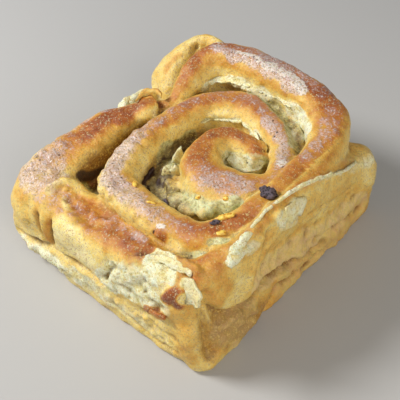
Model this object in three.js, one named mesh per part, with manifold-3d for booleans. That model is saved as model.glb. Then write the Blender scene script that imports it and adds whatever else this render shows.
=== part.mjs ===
// A square pull-apart cinnamon roll: a strip of dough rolled into a coil, proved and baked in a tin
// against its neighbours, with a few crumbs and zest shreds stuck to its top.
// Millimetres, +Z up. The origin is under the middle of the roll, on the surface it rests on.
// The roll's flat sides face -X, +X, -Y and +Y.

import * as THREE from "three";
import { mergeVertices } from "three/addons/utils/BufferGeometryUtils.js";
import Module from "manifold-3d";

// ---- Driving dimensions -------------------------------------------------------------------------

const ROLL_LENGTH_X = 88; // across the swollen waist, side to side
const ROLL_LENGTH_Y = 93.4;
const FOOT_INSET = 0.8; // how far the foot sits inside the waist, all round
const CORNER_RADIUS = 8; // of the waist's plan
const WAIST_HEIGHT = 12;
const SHOULDER_HEIGHT = 26; // where the block's flat top ends and the coil alone stands
const SHOULDER_INSET = 5;
const BLOCK_STEPS = 7;
const CORNER_SEGMENTS = 7;

const STRIP_FOOT_HEIGHT = 8; // a strip of dough starts inside the block, at this height
const CREST_ROUNDING = 0.95; // height of the rounded crest, as a share of the strip's half thickness
const CREST_SEGMENTS = 7;
const STEPS_PER_LENGTH = 11; // a strip is bent length by length, so that no length crosses itself
const COIL_LENGTHS = 11;
const FOLD_LENGTHS = 2;
const SHEET_LENGTHS = 1;
const JOIN_TOLERANCE = 0.03; // slivers smaller than this are cleared from the joined solid

const FILLING_HEIGHT = 32; // the filling lies in the valleys between the inner turns
const FILLING_FOOT_HEIGHT = 16;
const FILLING_CENTRE = [9, 1];
const FILLING_RADII = [25, 33];
const FILLING_SEGMENTS = 36;

const STUCK_GAP = 0.3; // a topping stands this far off the crust
const DROP_HEIGHT = 80; // toppings are dropped from here onto the crust

// The crest line of the coil, from its heart outwards: x, y, crest height, half thickness.
// Four lists, one for each part of the strip's travel; a smooth curve runs through all of them.
const HEART_TURN = [
  [21, 10, 37.5, 3],
  [14.5, 11, 40, 4],
  [7.5, 9.5, 40.5, 4.8],
  [5.5, 2.5, 41, 5.4],
  [8.5, -4, 41, 6.8],
  [15.5, -8, 40, 7.6],
  [24.5, -6, 39.5, 7.4],
  [30.5, 1.5, 39.5, 5.8],
];
const MIDDLE_TURN = [
  [29.5, 8.5, 39.5, 4.4],
  [24.5, 16.5, 39.5, 4.4],
  [16.5, 22, 39.5, 4.6],
  [6.5, 26, 39.5, 5.2],
  [-3, 26, 39.5, 6],
  [-10.5, 19.5, 39.5, 5.6],
  [-13.5, 9.5, 39, 6],
  [-14, -4, 38, 5.4],
  [-13, -15.5, 37.5, 5.6],
  [-7.5, -24.5, 37, 6.2],
  [3.5, -27.5, 37.5, 6.4],
  [16, -28.5, 38.5, 6],
  [27.5, -27, 39.5, 6.2],
  [34, -17.5, 40.5, 5.4],
];
const OUTER_TURN = [
  [35, -5.5, 41, 4.2],
  [35.5, 7, 41.5, 4.6],
  [35.5, 18, 42, 5.6],
  [32.5, 29, 43, 6.4],
  [26, 36.5, 44, 6.8],
  [14, 40, 46, 6.4],
  [0, 40.2, 46.6, 6.2],
  [-12, 39.5, 46.5, 6.4],
  [-20.5, 33.5, 44.5, 6.2],
  [-23.5, 23, 41, 5.6],
  [-24, 14, 36, 4.4],
  [-30.5, 3.5, 35, 6.6],
  [-33.5, -11, 34, 8.2],
  [-34, -24, 32.5, 9],
  [-33.5, -33.5, 30.5, 9],
];
const FRONT_BAND = [
  [-24, -38, 30, 8],
  [-9, -39.5, 31, 6.4],
  [7, -40.3, 32, 6],
  [22, -40.3, 35, 5.8],
  [33.5, -39.2, 37, 6.2],
  [39, -30.5, 39, 4.8],
  [40.5, -20, 41, 3.2],
  [40.5, -8, 42.5, 3],
  [40.5, 4, 41.5, 3],
  [40.5, 14, 38.5, 3.2],
  [40, 24, 35, 3.6],
  [39, 33, 31, 4.6],
  [37.6, 41, 28, 6],
];
const COIL_ROUTE = [...HEART_TURN, ...MIDDLE_TURN, ...OUTER_TURN, ...FRONT_BAND];

// The fold of skin that stands against the coil's back corner, where a neighbour was pulled away.
const SKIN_FOLD_ROUTE = [
  [-20, 43, 44.6, 3.6],
  [-27, 42.6, 45, 4],
  [-34, 40.5, 42.5, 5.2],
  [-38, 35, 39, 5.6],
  [-38, 27, 36.5, 5.6],
  [-37.5, 19, 31, 6],
  [-37, 10, 29, 6.2],
];

// The sheet of soft dough that leans on the middle turn's back corner.
const SHEET_ROUTE = [
  [2, 33, 35.5, 3],
  [10, 31.5, 36, 4.2],
  [18, 27.5, 36.2, 4.8],
  [25, 21, 36.4, 4.8],
  [29.5, 13, 36.6, 4],
];

// Bits stuck to the crust: name, plan position, length, width, thickness, turn in degrees, finish.
const DARK_CRUMBS = [
  { name: "dark_crumb_large", at: [35.6, -5.5], size: [5.2, 4.8, 3], turn: 20 },
  { name: "dark_crumb_small", at: [30.3, -22.9], size: [3, 1.8, 1.2], turn: 45 },
  { name: "dark_crumb_valley", at: [8, -19.5], size: [2.4, 1.6, 1.4], turn: -45 },
];
const ZEST_SHREDS = [
  { name: "zest_shred_1", at: [-0.8, -24], size: [3.4, 1.6, 1.1], turn: -45 },
  { name: "zest_shred_2", at: [9.2, -27.2], size: [2.9, 1.3, 0.9], turn: 40 },
  { name: "zest_shred_3", at: [31, -19.3], size: [5.4, 2.2, 1.5], turn: 50 },
  { name: "zest_shred_4", at: [33.7, -24.4], size: [2.8, 1.6, 1], turn: 60 },
  { name: "zest_shred_5", at: [25.3, -12.2], size: [1.9, 1.5, 0.9], turn: 10 },
  { name: "zest_shred_6", at: [17.2, -15.5], size: [2.2, 1.1, 0.9], turn: 30 },
];

// ---- Materials ----------------------------------------------------------------------------------

const crust = new THREE.MeshStandardMaterial({ color: 0xc98a45, roughness: 0.55, metalness: 0 });
const darkCrumb = new THREE.MeshStandardMaterial({ color: 0x2b242e, roughness: 0.8, metalness: 0 });
const zest = new THREE.MeshStandardMaterial({ color: 0xe0a21c, roughness: 0.5, metalness: 0 });

// ---- Solids -------------------------------------------------------------------------------------

const wasm = await Module();
wasm.setup();

/** A closed three.js geometry as a manifold-3d solid, for joining. */
function toSolid(geometry) {
  const bare = geometry.clone();
  bare.deleteAttribute("normal");
  bare.deleteAttribute("uv");
  const merged = mergeVertices(bare, 1e-3);
  return new wasm.Manifold(
    new wasm.Mesh({
      numProp: 3,
      vertProperties: new Float32Array(merged.attributes.position.array),
      triVerts: new Uint32Array(merged.index.array),
    }),
  );
}

/** A manifold-3d solid as a three.js geometry with flat-shaded faces. */
function toGeometry(solid) {
  const mesh = solid.getMesh();
  const geometry = new THREE.BufferGeometry();
  geometry.setAttribute("position", new THREE.BufferAttribute(mesh.vertProperties, 3));
  geometry.setIndex(new THREE.BufferAttribute(mesh.triVerts, 1));
  geometry.computeVertexNormals();
  return geometry;
}

/** Moves every vertex of a geometry by a function of its position. */
function reshape(geometry, move) {
  const position = geometry.getAttribute("position");
  const vertex = new THREE.Vector3();
  for (let i = 0; i < position.count; i += 1) {
    vertex.fromBufferAttribute(position, i);
    move(vertex);
    position.setXYZ(i, vertex.x, vertex.y, vertex.z);
  }
  return geometry;
}

/** The waist's plan: a rectangle with round corners. */
function squarePlan(lengthX, lengthY, radius) {
  const x = lengthX / 2;
  const y = lengthY / 2;
  const plan = new THREE.Shape();
  plan.moveTo(-x + radius, -y);
  plan.lineTo(x - radius, -y);
  plan.absarc(x - radius, -y + radius, radius, -Math.PI / 2, 0);
  plan.lineTo(x, y - radius);
  plan.absarc(x - radius, y - radius, radius, 0, Math.PI / 2);
  plan.lineTo(-x + radius, y);
  plan.absarc(-x + radius, y - radius, radius, Math.PI / 2, Math.PI);
  plan.lineTo(-x, -y + radius);
  plan.absarc(-x + radius, -y + radius, radius, Math.PI, 1.5 * Math.PI);
  return plan;
}

/** How far the block's side stands inside the waist at a height. */
function sideInset(z) {
  if (z < WAIST_HEIGHT) {
    const down = 1 - z / WAIST_HEIGHT;
    return FOOT_INSET * down ** 2;
  }
  const up = (z - WAIST_HEIGHT) / (SHOULDER_HEIGHT - WAIST_HEIGHT);
  return SHOULDER_INSET * up ** 2.4;
}

/** The block that the coil's lower half has baked into: flat below, swollen at the waist. */
function makeBlock() {
  const block = new THREE.ExtrudeGeometry(squarePlan(ROLL_LENGTH_X, ROLL_LENGTH_Y, CORNER_RADIUS), {
    depth: SHOULDER_HEIGHT,
    steps: BLOCK_STEPS,
    curveSegments: CORNER_SEGMENTS,
    bevelEnabled: false,
  });
  return reshape(block, (vertex) => {
    const inset = sideInset(vertex.z);
    vertex.x *= 1 - (2 * inset) / ROLL_LENGTH_X;
    vertex.y *= 1 - (2 * inset) / ROLL_LENGTH_Y;
  });
}

/** The bed of filling in the valleys between the inner turns: an oval, level on top. */
function makeFilling() {
  const oval = new THREE.Shape();
  oval.absellipse(0, 0, FILLING_RADII[0], FILLING_RADII[1], 0, 2 * Math.PI);
  const filling = new THREE.ExtrudeGeometry(oval, {
    depth: FILLING_HEIGHT - FILLING_FOOT_HEIGHT,
    curveSegments: FILLING_SEGMENTS,
    bevelEnabled: false,
  });
  filling.translate(FILLING_CENTRE[0], FILLING_CENTRE[1], FILLING_FOOT_HEIGHT);
  return filling;
}

/** The strip's section before it is bent: a unit half circle on a unit-deep foot. */
function stripSection() {
  const section = new THREE.Shape();
  section.moveTo(-1, -1);
  section.lineTo(1, -1);
  section.absarc(0, 0, 1, 0, Math.PI);
  return section;
}

/** A strip in lengths: each a straight piece of dough, bent round its share of the crest line. */
function makeStrip(route, lengthCount) {
  const crest = new THREE.CatmullRomCurve3(
    route.map(([x, y, z]) => new THREE.Vector3(x, y, z)),
    false,
    "centripetal",
  );
  const halfThickness = new THREE.CatmullRomCurve3(
    route.map(([x, y, , half]) => new THREE.Vector3(x, y, half)),
    false,
    "centripetal",
  );
  const lengths = [];
  for (let index = 0; index < lengthCount; index += 1) {
    const strip = new THREE.ExtrudeGeometry(stripSection(), {
      depth: 1 / lengthCount,
      steps: STEPS_PER_LENGTH,
      curveSegments: CREST_SEGMENTS,
      bevelEnabled: false,
    });
    strip.translate(0, 0, index / lengthCount);
    lengths.push(bendStrip(strip, crest, halfThickness));
  }
  return lengths;
}

/** Bends a straight strip so that its foot, shoulders and crest follow the crest line. */
function bendStrip(strip, crest, halfThickness) {
  return reshape(strip, (vertex) => {
    const along = THREE.MathUtils.clamp(vertex.z, 0, 1);
    const top = crest.getPoint(along);
    const half = halfThickness.getPoint(along).z;
    const ahead = crest.getTangent(along).setZ(0).normalize();
    const shoulder = top.z - CREST_ROUNDING * half;
    const height =
      vertex.y >= 0
        ? shoulder + vertex.y * CREST_ROUNDING * half
        : THREE.MathUtils.lerp(shoulder, STRIP_FOOT_HEIGHT, -vertex.y);
    const across = vertex.x * half;
    vertex.set(top.x - ahead.y * across, top.y + ahead.x * across, height);
  });
}

/** The largest body of a solid: joining the lengths end to end leaves slivers without volume. */
function largestBody(solid) {
  const larger = (one, other) => (other.volume() > one.volume() ? other : one);
  return solid.decompose().reduce(larger);
}

/** The baked roll as one solid. */
function makeRoll() {
  const coil = makeStrip(COIL_ROUTE, COIL_LENGTHS);
  const skinFold = makeStrip(SKIN_FOLD_ROUTE, FOLD_LENGTHS);
  const sheet = makeStrip(SHEET_ROUTE, SHEET_LENGTHS);
  const joined = [makeBlock(), makeFilling(), ...coil, ...skinFold, ...sheet]
    .map(toSolid)
    .reduce((whole, piece) => whole.add(piece))
    .simplify(JOIN_TOLERANCE);
  const roll = new THREE.Mesh(toGeometry(largestBody(joined)), crust);
  roll.name = "roll";
  return roll;
}

/** An egg-shaped or shred-shaped bit, lying just clear of the crust below it. */
function makeBit({ name, at, size, turn }, material, roll) {
  const bit = new THREE.Mesh(new THREE.SphereGeometry(0.5, 10, 6), material);
  bit.geometry.scale(...size);
  bit.geometry.rotateZ(THREE.MathUtils.degToRad(turn));
  bit.name = name;
  bit.position.set(at[0], at[1], restingHeight(bit.geometry, at, roll));
  return bit;
}

/** The lowest height at which a bit clears the crust everywhere below it. */
function restingHeight(geometry, at, roll) {
  const position = geometry.getAttribute("position");
  const ray = new THREE.Raycaster();
  const down = new THREE.Vector3(0, 0, -1);
  let height = 0;
  for (let i = 0; i < position.count; i += 1) {
    const from = new THREE.Vector3(position.getX(i) + at[0], position.getY(i) + at[1], DROP_HEIGHT);
    ray.set(from, down);
    const hit = ray.intersectObject(roll)[0];
    height = Math.max(height, hit.point.z - position.getZ(i) + STUCK_GAP);
  }
  return height;
}

// ---- The object ---------------------------------------------------------------------------------

const cinnamonRoll = new THREE.Group();
const roll = makeRoll();
cinnamonRoll.add(roll);
for (const crumb of DARK_CRUMBS) {
  cinnamonRoll.add(makeBit(crumb, darkCrumb, roll));
}
for (const shred of ZEST_SHREDS) {
  cinnamonRoll.add(makeBit(shred, zest, roll));
}

export default cinnamonRoll;
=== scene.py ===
"""A square pull-apart cinnamon roll, modelled and dressed around its construction frame.

The dough is built from strips and lobes, joined into one skin, then worked the way a sculptor would: pressed,
raised and torn by strokes, given its crumb and wrinkles, and coated with browning, glaze, filling and painted
shade.
Shapes are worked in millimetres in the frame's own axes and brought to metres when a piece is finished.
+X is the torn side that the coil's tail runs along, -Y the side with the torn patch, +Z up.
"""

import logging
import math
from dataclasses import dataclass
from enum import Enum

import bmesh
import bpy
import numpy as np
from mathutils import Matrix, Quaternion, Vector
from mathutils.bvhtree import BVHTree
from mathutils.kdtree import KDTree


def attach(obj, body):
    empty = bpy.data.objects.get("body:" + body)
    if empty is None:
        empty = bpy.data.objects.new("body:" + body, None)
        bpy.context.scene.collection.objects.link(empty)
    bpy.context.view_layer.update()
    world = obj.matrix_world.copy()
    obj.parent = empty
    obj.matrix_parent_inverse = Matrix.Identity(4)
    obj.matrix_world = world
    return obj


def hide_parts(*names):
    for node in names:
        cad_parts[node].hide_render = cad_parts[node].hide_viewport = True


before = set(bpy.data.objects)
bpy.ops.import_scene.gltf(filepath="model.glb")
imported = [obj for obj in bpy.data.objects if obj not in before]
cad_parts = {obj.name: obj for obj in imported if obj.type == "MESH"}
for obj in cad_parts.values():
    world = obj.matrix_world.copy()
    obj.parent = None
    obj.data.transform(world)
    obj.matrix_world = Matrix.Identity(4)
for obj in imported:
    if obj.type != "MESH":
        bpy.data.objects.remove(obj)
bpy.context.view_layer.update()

MM = 0.001
BODY = "root"
SEED = 7  # of every random draw
UP = Vector((0, 0, 1))

log = logging.getLogger("cinnamon_roll")


# ---- Small tools ----------------------------------------------------------------------------------


def srgb(red: float, green: float, blue: float) -> tuple[float, float, float, float]:
    """Turns a display colour into the linear colour that shaders use.

    Args:
        red: Red, from 0 to 255.
        green: Green, from 0 to 255.
        blue: Blue, from 0 to 255.

    Returns:
        The linear colour, with full alpha.
    """
    linear = [((c / 255 + 0.055) / 1.055) ** 2.4 if c > 10 else c / 255 / 12.92 for c in (red, green, blue)]
    return (*linear, 1.0)


def smoothstep(low: float, high: float, value: np.ndarray) -> np.ndarray:
    """Rises smoothly from 0 at low to 1 at high; it falls where low is the larger.

    Args:
        low: Where the result is 0.
        high: Where the result is 1.
        value: The values to map.

    Returns:
        The mapped values.
    """
    share = np.clip((value - low) / (high - low), 0, 1)
    return share * share * (3 - 2 * share)


def path_distance(points: np.ndarray, path: np.ndarray) -> np.ndarray:
    """Measures how far points are from a path of straight pieces.

    Args:
        points: The points, one row each.
        path: The corners of the path.

    Returns:
        The distance of each point.
    """
    nearest = np.full(len(points), np.inf)
    if len(path) == 1:
        return np.linalg.norm(points - path[0], axis=1)
    for start, end in zip(path[:-1], path[1:]):
        along = end - start
        share = np.clip((points - start) @ along / (along @ along), 0, 1)
        nearest = np.minimum(nearest, np.linalg.norm(points - start - share[:, None] * along, axis=1))
    return nearest


class Grain:
    """Random relief that fills space, smooth or cellular, and the same on every run."""

    LATTICE = 4096
    MIXERS = (73856093, 19349663, 83492791)  # large primes that spread the cells over the tables
    LAYER_SHIFT = 17.3  # keeps the layers' lattices apart
    GAIN = 1.7  # brings the sum to about -1 to 1

    def __init__(self, seed: int) -> None:
        """Draws the random directions and offsets.

        Args:
            seed: The seed of the draws.
        """
        draws = np.random.default_rng(seed)
        slopes = draws.normal(size=(self.LATTICE, 3))
        self.slopes = slopes / np.linalg.norm(slopes, axis=1)[:, None]
        self.offsets = draws.random((self.LATTICE, 3))

    def _slot(self, cell: np.ndarray) -> np.ndarray:
        """Gives each lattice cell its place in the random tables."""
        x, y, z = (cell[:, axis] * mixer for axis, mixer in enumerate(self.MIXERS))
        mixed = x ^ y ^ z
        return mixed & (self.LATTICE - 1)

    def smooth(self, points: np.ndarray, size: float, layers: int = 1) -> np.ndarray:
        """Gives gradient noise.

        Args:
            points: Where it is wanted, in millimetres.
            size: The size of its largest bumps, in millimetres.
            layers: How many times finer bumps of half the size are added.

        Returns:
            Values of about -1 to 1.
        """
        total = np.zeros(len(points))
        for layer in range(layers):
            scaled = points * (2**layer / size) + self.LAYER_SHIFT * layer
            base = np.floor(scaled).astype(np.int64)
            part = scaled - base
            ease = part * part * (3 - 2 * part)
            for corner in np.ndindex(2, 2, 2):
                slope = self.slopes[self._slot(base + corner)]
                value = np.einsum("ij,ij->i", slope, part - corner)
                weight = np.prod(np.where(corner, ease, 1 - ease), axis=1)
                total += value * weight * self.GAIN / 2**layer
        return total

    def pores(self, points: np.ndarray, size: float) -> np.ndarray:
        """Gives cell noise: 0 in the middle of a pore, about 1 at the walls between pores.

        Args:
            points: Where it is wanted, in millimetres.
            size: The distance from pore to pore, in millimetres.

        Returns:
            Values of about 0 to 1.
        """
        scaled = points / size
        base = np.floor(scaled).astype(np.int64)
        nearest = np.full(len(points), np.inf)
        for step in np.ndindex(3, 3, 3):
            cell = base + np.array(step) - 1
            gap = cell + self.offsets[self._slot(cell)] - scaled
            nearest = np.minimum(nearest, np.einsum("ij,ij->i", gap, gap))
        return np.sqrt(nearest)


# ---- The dough's parts ----------------------------------------------------------------------------


@dataclass(frozen=True)
class Station:
    """A point on the crest of a strip of dough, in millimetres."""

    x: float
    y: float
    crest: float
    inner: float  # half widths, on the left and on the right of the strip's run
    outer: float
    brown: float = 0.6
    glaze: float = 0.0


@dataclass(frozen=True)
class Strip:
    """A strip of dough standing on edge, with a rounded crest, that runs through its stations."""

    stations: tuple[Station, ...]
    foot: float = 6.0
    shoulder_drop: float = 7.5
    steps_between: int = 5
    ring_points: int = 24
    flank_points: int = 3  # of the ring's points, on each flank below the shoulder
    fullness: float = 0.85  # under 1 the crest is fuller than an ellipse

    def samples(self) -> np.ndarray:
        """Runs a smooth curve through the stations.

        Returns:
            One row per step: x, y, crest, inner, outer, browning, glaze.
        """
        rows = [(s.x, s.y, s.crest, s.inner, s.outer, s.brown, s.glaze) for s in self.stations]
        knots = np.array(rows)
        ends = np.vstack([2 * knots[0] - knots[1], knots, 2 * knots[-1] - knots[-2]])
        run = []
        for before, start, end, after in zip(ends[:-3], ends[1:-2], ends[2:-1], ends[3:]):
            for step in range(self.steps_between):
                t = step / self.steps_between
                run.append(
                    0.5
                    * (
                        2 * start
                        + (end - before) * t
                        + (2 * before - 5 * start + 4 * end - after) * t**2
                        + (3 * start - before - 3 * end + after) * t**3
                    )
                )
        run.append(knots[-1])
        return np.array(run)

    def sides(self, samples: np.ndarray) -> np.ndarray:
        """Finds the level direction to the left of the run at each sample."""
        ahead = np.gradient(samples[:, :2], axis=0)
        ahead /= np.linalg.norm(ahead, axis=1)[:, None]
        return np.stack([-ahead[:, 1], ahead[:, 0]], axis=1)

    def section(self, sample: np.ndarray, side: np.ndarray) -> list[Vector]:
        """Places one ring of the strip.

        Args:
            sample: A row of samples().
            side: The direction to the left of the run.

        Returns:
            The ring's corners, from the outer foot over the crest to the inner foot.
        """
        x, y, crest, inner, outer = sample[:5]
        flank = self.flank_points
        arc = self.ring_points - 2 * flank
        shoulder = crest - self.shoulder_drop
        ring = []
        for index in range(self.ring_points):
            if index < flank:
                across, height = -outer, self.foot + (shoulder - self.foot) * index / flank
            elif index >= flank + arc:
                share = (self.ring_points - 1 - index) / flank
                across, height = inner, self.foot + (shoulder - self.foot) * share
            else:
                turn = math.pi * (index - flank) / (arc - 1)
                level = math.copysign(abs(math.cos(turn)) ** self.fullness, math.cos(turn))
                across = -level * (outer if level > 0 else inner)
                height = shoulder + self.shoulder_drop * math.sin(turn) ** self.fullness
            ring.append(Vector((x + side[0] * across, y + side[1] * across, height)))
        return ring

    def build(self, dough: bmesh.types.BMesh) -> None:
        """Adds the strip to the dough by pulling one ring along the run.

        Args:
            dough: The mesh that it is added to.
        """
        samples = self.samples()
        sides = self.sides(samples)
        made = bmesh.ops.create_circle(dough, cap_ends=True, segments=self.ring_points, radius=1)
        cap = made["verts"][0].link_faces[0]
        place_ring(cap, self.section(samples[0], sides[0]))
        for sample, side in zip(samples[1:], sides[1:]):
            cap = pull(dough, cap)
            place_ring(cap, self.section(sample, side))


def pull(dough: bmesh.types.BMesh, cap: bmesh.types.BMFace) -> bmesh.types.BMFace:
    """Extrudes a cap face and returns the new cap."""
    grown = bmesh.ops.extrude_face_region(dough, geom=[cap])["geom"]
    return next(item for item in grown if isinstance(item, bmesh.types.BMFace))


def place_ring(cap: bmesh.types.BMFace, places: list[Vector]) -> None:
    """Moves the corners of a cap face to their places."""
    for corner, place in zip(cap.verts, places):
        corner.co = place


@dataclass(frozen=True)
class Lobe:
    """A swelling of the dough: an egg shape, turned about the upright."""

    centre: tuple[float, float, float]
    radii: tuple[float, float, float]
    turn: float = 0.0

    def build(self, dough: bmesh.types.BMesh) -> None:
        """Adds the lobe to the dough."""
        turned = Matrix.Rotation(math.radians(self.turn), 4, "Z")
        place = Matrix.Translation(self.centre) @ turned @ Matrix.Diagonal((*self.radii, 1))
        bmesh.ops.create_icosphere(dough, subdivisions=4, radius=1, matrix=place)


@dataclass(frozen=True)
class Block:
    """The foot of the roll: a square with round corners that swells at the waist."""

    half_x: float
    half_y: float
    levels: tuple[tuple[float, float], ...]  # height and inset
    squareness: float = 16.0
    corners: int = 160

    def outline(self, height: float, inset: float) -> list[Vector]:
        """Places the corners of one level ring, on a superellipse."""
        ring = []
        for index in range(self.corners):
            turn = 2 * math.pi * index / self.corners
            sum_of_powers = abs(math.cos(turn)) ** self.squareness + abs(math.sin(turn)) ** self.squareness
            reach = sum_of_powers ** (-1 / self.squareness)
            x = (self.half_x - inset) * reach * math.cos(turn)
            y = (self.half_y - inset) * reach * math.sin(turn)
            ring.append(Vector((x, y, height)))
        return ring

    def build(self, dough: bmesh.types.BMesh) -> None:
        """Adds the block to the dough, pulled up from its foot level by level."""
        made = bmesh.ops.create_circle(dough, cap_ends=True, segments=self.corners, radius=1)
        cap = made["verts"][0].link_faces[0]
        place_ring(cap, self.outline(*self.levels[0]))
        for height, inset in self.levels[1:]:
            cap = pull(dough, cap)
            place_ring(cap, self.outline(height, inset))


# ---- Working the surface --------------------------------------------------------------------------


class Coat(Enum):
    """What lies on the dough, and the painted shade of its hollows. The value is the name of the mesh
    attribute.
    """

    BROWNING = "browning"
    GLAZE = "glaze"
    ICING = "icing"
    CRUMB = "crumb"
    FILLING = "filling"
    SHADE = "shade"
    # dark specks of scorched sugar, and painted shade in the deepest gaps
    SCORCH_AND_SHADE = "scorch_and_shade"


@dataclass(frozen=True)
class Stroke:
    """One pass of a finger, knife or brush along a path on the surface, in millimetres."""

    path: tuple[tuple[float, float, float], ...]
    width: float
    amount: float
    soft: float = 0.6  # the share of the width over which it fades
    ragged: float = 0.0  # how far its edge wanders
    rough: float = 0.0  # the share of the amount that comes and goes

    def weight(self, skin: "Skin") -> np.ndarray:
        """Tells how strongly the stroke touches each point of the skin.

        Args:
            skin: The surface that it is made on.

        Returns:
            A weight of 0 to 1 for each point, a little more where it is rough.
        """
        away = path_distance(skin.points, np.array(self.path, float)) + self.ragged * skin.wander
        weight = smoothstep(self.width, self.width * (1 - self.soft), away)
        return weight * (1 + self.rough * skin.grit)


class Skin:
    """The joined surface of the roll, held as arrays while it is worked."""

    WANDER_SIZE = 5.0  # of the bends in ragged edges, in millimetres
    GRIT_SIZE = 2.6  # of the patches in which a rough stroke comes and goes
    SMOOTHING = 0.6  # the share of the way to its neighbours that a point moves in hollowness()

    def __init__(self, mesh: bpy.types.Mesh, grain: Grain) -> None:
        """Takes the surface of a mesh.

        Args:
            mesh: The joined mesh, in millimetres.
            grain: The noise that ragged edges follow.
        """
        self.mesh = mesh
        self.grain = grain
        count = len(mesh.vertices)
        self.points = np.empty(count * 3)
        mesh.vertices.foreach_get("co", self.points)
        self.points = self.points.reshape(-1, 3)
        self.edges = np.empty(len(mesh.edges) * 2, np.int32)
        mesh.edges.foreach_get("vertices", self.edges)
        self.edges = self.edges.reshape(-1, 2)
        self.degree = np.bincount(self.edges.ravel(), minlength=count).astype(float)
        self.coats = {coat: np.zeros(count) for coat in Coat}
        self.refresh()

    def refresh(self) -> None:
        """Brings the mesh, the normals and the noise of ragged edges up to date."""
        self.mesh.vertices.foreach_set("co", self.points.ravel())
        self.mesh.update()
        normals = np.empty(len(self.points) * 3, np.float32)
        self.mesh.vertex_normals.foreach_get("vector", normals)
        self.normals = normals.reshape(-1, 3).astype(float)
        self.wander = self.grain.smooth(self.points, self.WANDER_SIZE, 3)
        self.grit = self.grain.smooth(self.points, self.GRIT_SIZE, 2)

    def averaged(self, values: np.ndarray) -> np.ndarray:
        """Gives each point the mean of its neighbours' values."""
        first, second = self.edges.T
        count = len(self.points)
        columns = []
        for column in values.T:
            total = np.bincount(first, column[second], count) + np.bincount(second, column[first], count)
            columns.append(total / self.degree)
        return np.stack(columns, axis=1)

    def relax(self, rounds: int, share: float = 0.5) -> None:
        """Smooths the surface."""
        for _ in range(rounds):
            self.points += share * (self.averaged(self.points) - self.points)
        self.refresh()

    def hollowness(self, rounds: int) -> np.ndarray:
        """Measures how deep each point lies below a smoothed copy of the surface, in millimetres."""
        smoothed = self.points.copy()
        for _ in range(rounds):
            smoothed += self.SMOOTHING * (self.averaged(smoothed) - smoothed)
        return np.einsum("ij,ij->i", smoothed - self.points, self.normals)

    def press(self, strokes: tuple[Stroke, ...]) -> None:
        """Raises the surface by each stroke's amount, in millimetres, or presses it in."""
        lift = np.zeros(len(self.points))
        for stroke in strokes:
            lift += stroke.amount * stroke.weight(self)
        self.points += self.normals * lift[:, None]
        self.refresh()

    def brush(self, coat: Coat, strokes: tuple[Stroke, ...]) -> None:
        """Brings a coat towards each stroke's amount."""
        layer = self.coats[coat]
        for stroke in strokes:
            layer += np.clip(stroke.weight(self), 0, 1) * (stroke.amount - layer)

    def finish(self) -> None:
        """Stores the coats on the mesh."""
        self.refresh()
        for coat, layer in self.coats.items():
            attribute = self.mesh.attributes.new(coat.value, "FLOAT", "POINT")
            attribute.data.foreach_set("value", np.clip(layer, 0, 1).astype(np.float32))


@dataclass(frozen=True)
class Rag:
    """A torn ribbon of skin that hangs or stands from a path on the dough and ends in a ragged edge."""

    path: tuple[tuple[float, float, float], ...]  # its attached edge
    reach: tuple[float, float, float]  # from the attached edge to the free one
    curl: float  # how far it bends out midway
    browning: tuple[float, float] = (0.3, 0.1)  # at the attached edge and at the free one
    crumb: float = 0.5
    filling: float = 0.0
    ragged: float = 0.45  # the share of its reach that comes and goes
    thickness: float = 0.8
    rows: int = 7
    step: float = 0.45  # from column to column
    edge_size: float = 2.6  # of the bumps of its ragged edge
    bend_size: float = 3.0  # of its small bends
    bend: float = 0.35  # how far the small bends move its free edge

    def columns(self) -> np.ndarray:
        """Spaces points evenly along the attached edge."""
        corners = np.array(self.path, float)
        lengths = np.linalg.norm(np.diff(corners, axis=0), axis=1)
        marks = np.concatenate(([0], np.cumsum(lengths)))
        places = np.linspace(0, marks[-1], max(4, int(marks[-1] / self.step)))
        return np.stack([np.interp(places, marks, corners[:, axis]) for axis in range(3)], axis=1)

    def build(self, dough: bmesh.types.BMesh, grain: Grain) -> None:
        """Adds the ribbon to the dough: a grid bent to its shape and then given its thickness.

        Args:
            dough: The roll's mesh, in millimetres, with its coats as vertex layers.
            grain: The noise that its edge and its bends follow.
        """
        edge = self.columns()
        reach = np.array(self.reach)
        outward = np.cross(edge[-1] - edge[0], reach)
        outward /= np.linalg.norm(outward)
        ends = np.sin(np.pi * np.linspace(0.06, 0.94, len(edge))) ** 0.4  # it grows shorter at both ends
        span = ends * (1 + self.ragged * grain.smooth(edge, self.edge_size, 3))
        made = bmesh.ops.create_grid(dough, x_segments=len(edge) - 1, y_segments=self.rows - 1, size=0.5)
        corners = sorted(made["verts"], key=lambda corner: (round(corner.co.x, 5), corner.co.y))
        faces = list({face for corner in corners for face in corner.link_faces})
        share = np.tile(np.linspace(0, 1, self.rows), len(edge))[:, None]
        flat = np.repeat(edge, self.rows, axis=0) + share * np.repeat(span, self.rows)[:, None] * reach
        wrinkles = grain.smooth(flat, self.bend_size, 2)[:, None]
        bend = self.curl * np.sin(np.pi * share) + self.bend * share * wrinkles
        coats = {
            Coat.BROWNING: self.browning[0] + share * (self.browning[1] - self.browning[0]),
            Coat.CRUMB: self.crumb * np.ones_like(share),
            Coat.FILLING: self.filling * np.ones_like(share),
        }
        layers = {coat: dough.verts.layers.float[coat.value] for coat in coats}
        for index, (corner, place) in enumerate(zip(corners, flat + bend * outward)):
            corner.co = place
            for coat, layer in layers.items():
                corner[layer] = float(coats[coat][index, 0])
        grown = bmesh.ops.extrude_face_region(dough, geom=faces, use_keep_orig=True)["geom"]
        shell = [item for item in grown if isinstance(item, bmesh.types.BMVert)]
        bmesh.ops.translate(dough, vec=Vector(outward) * self.thickness, verts=shell)
        both = list({face for corner in [*corners, *shell] for face in corner.link_faces})
        bmesh.ops.recalc_face_normals(dough, faces=both)


# ---- The dough's parts in place -------------------------------------------------------------------


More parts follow.
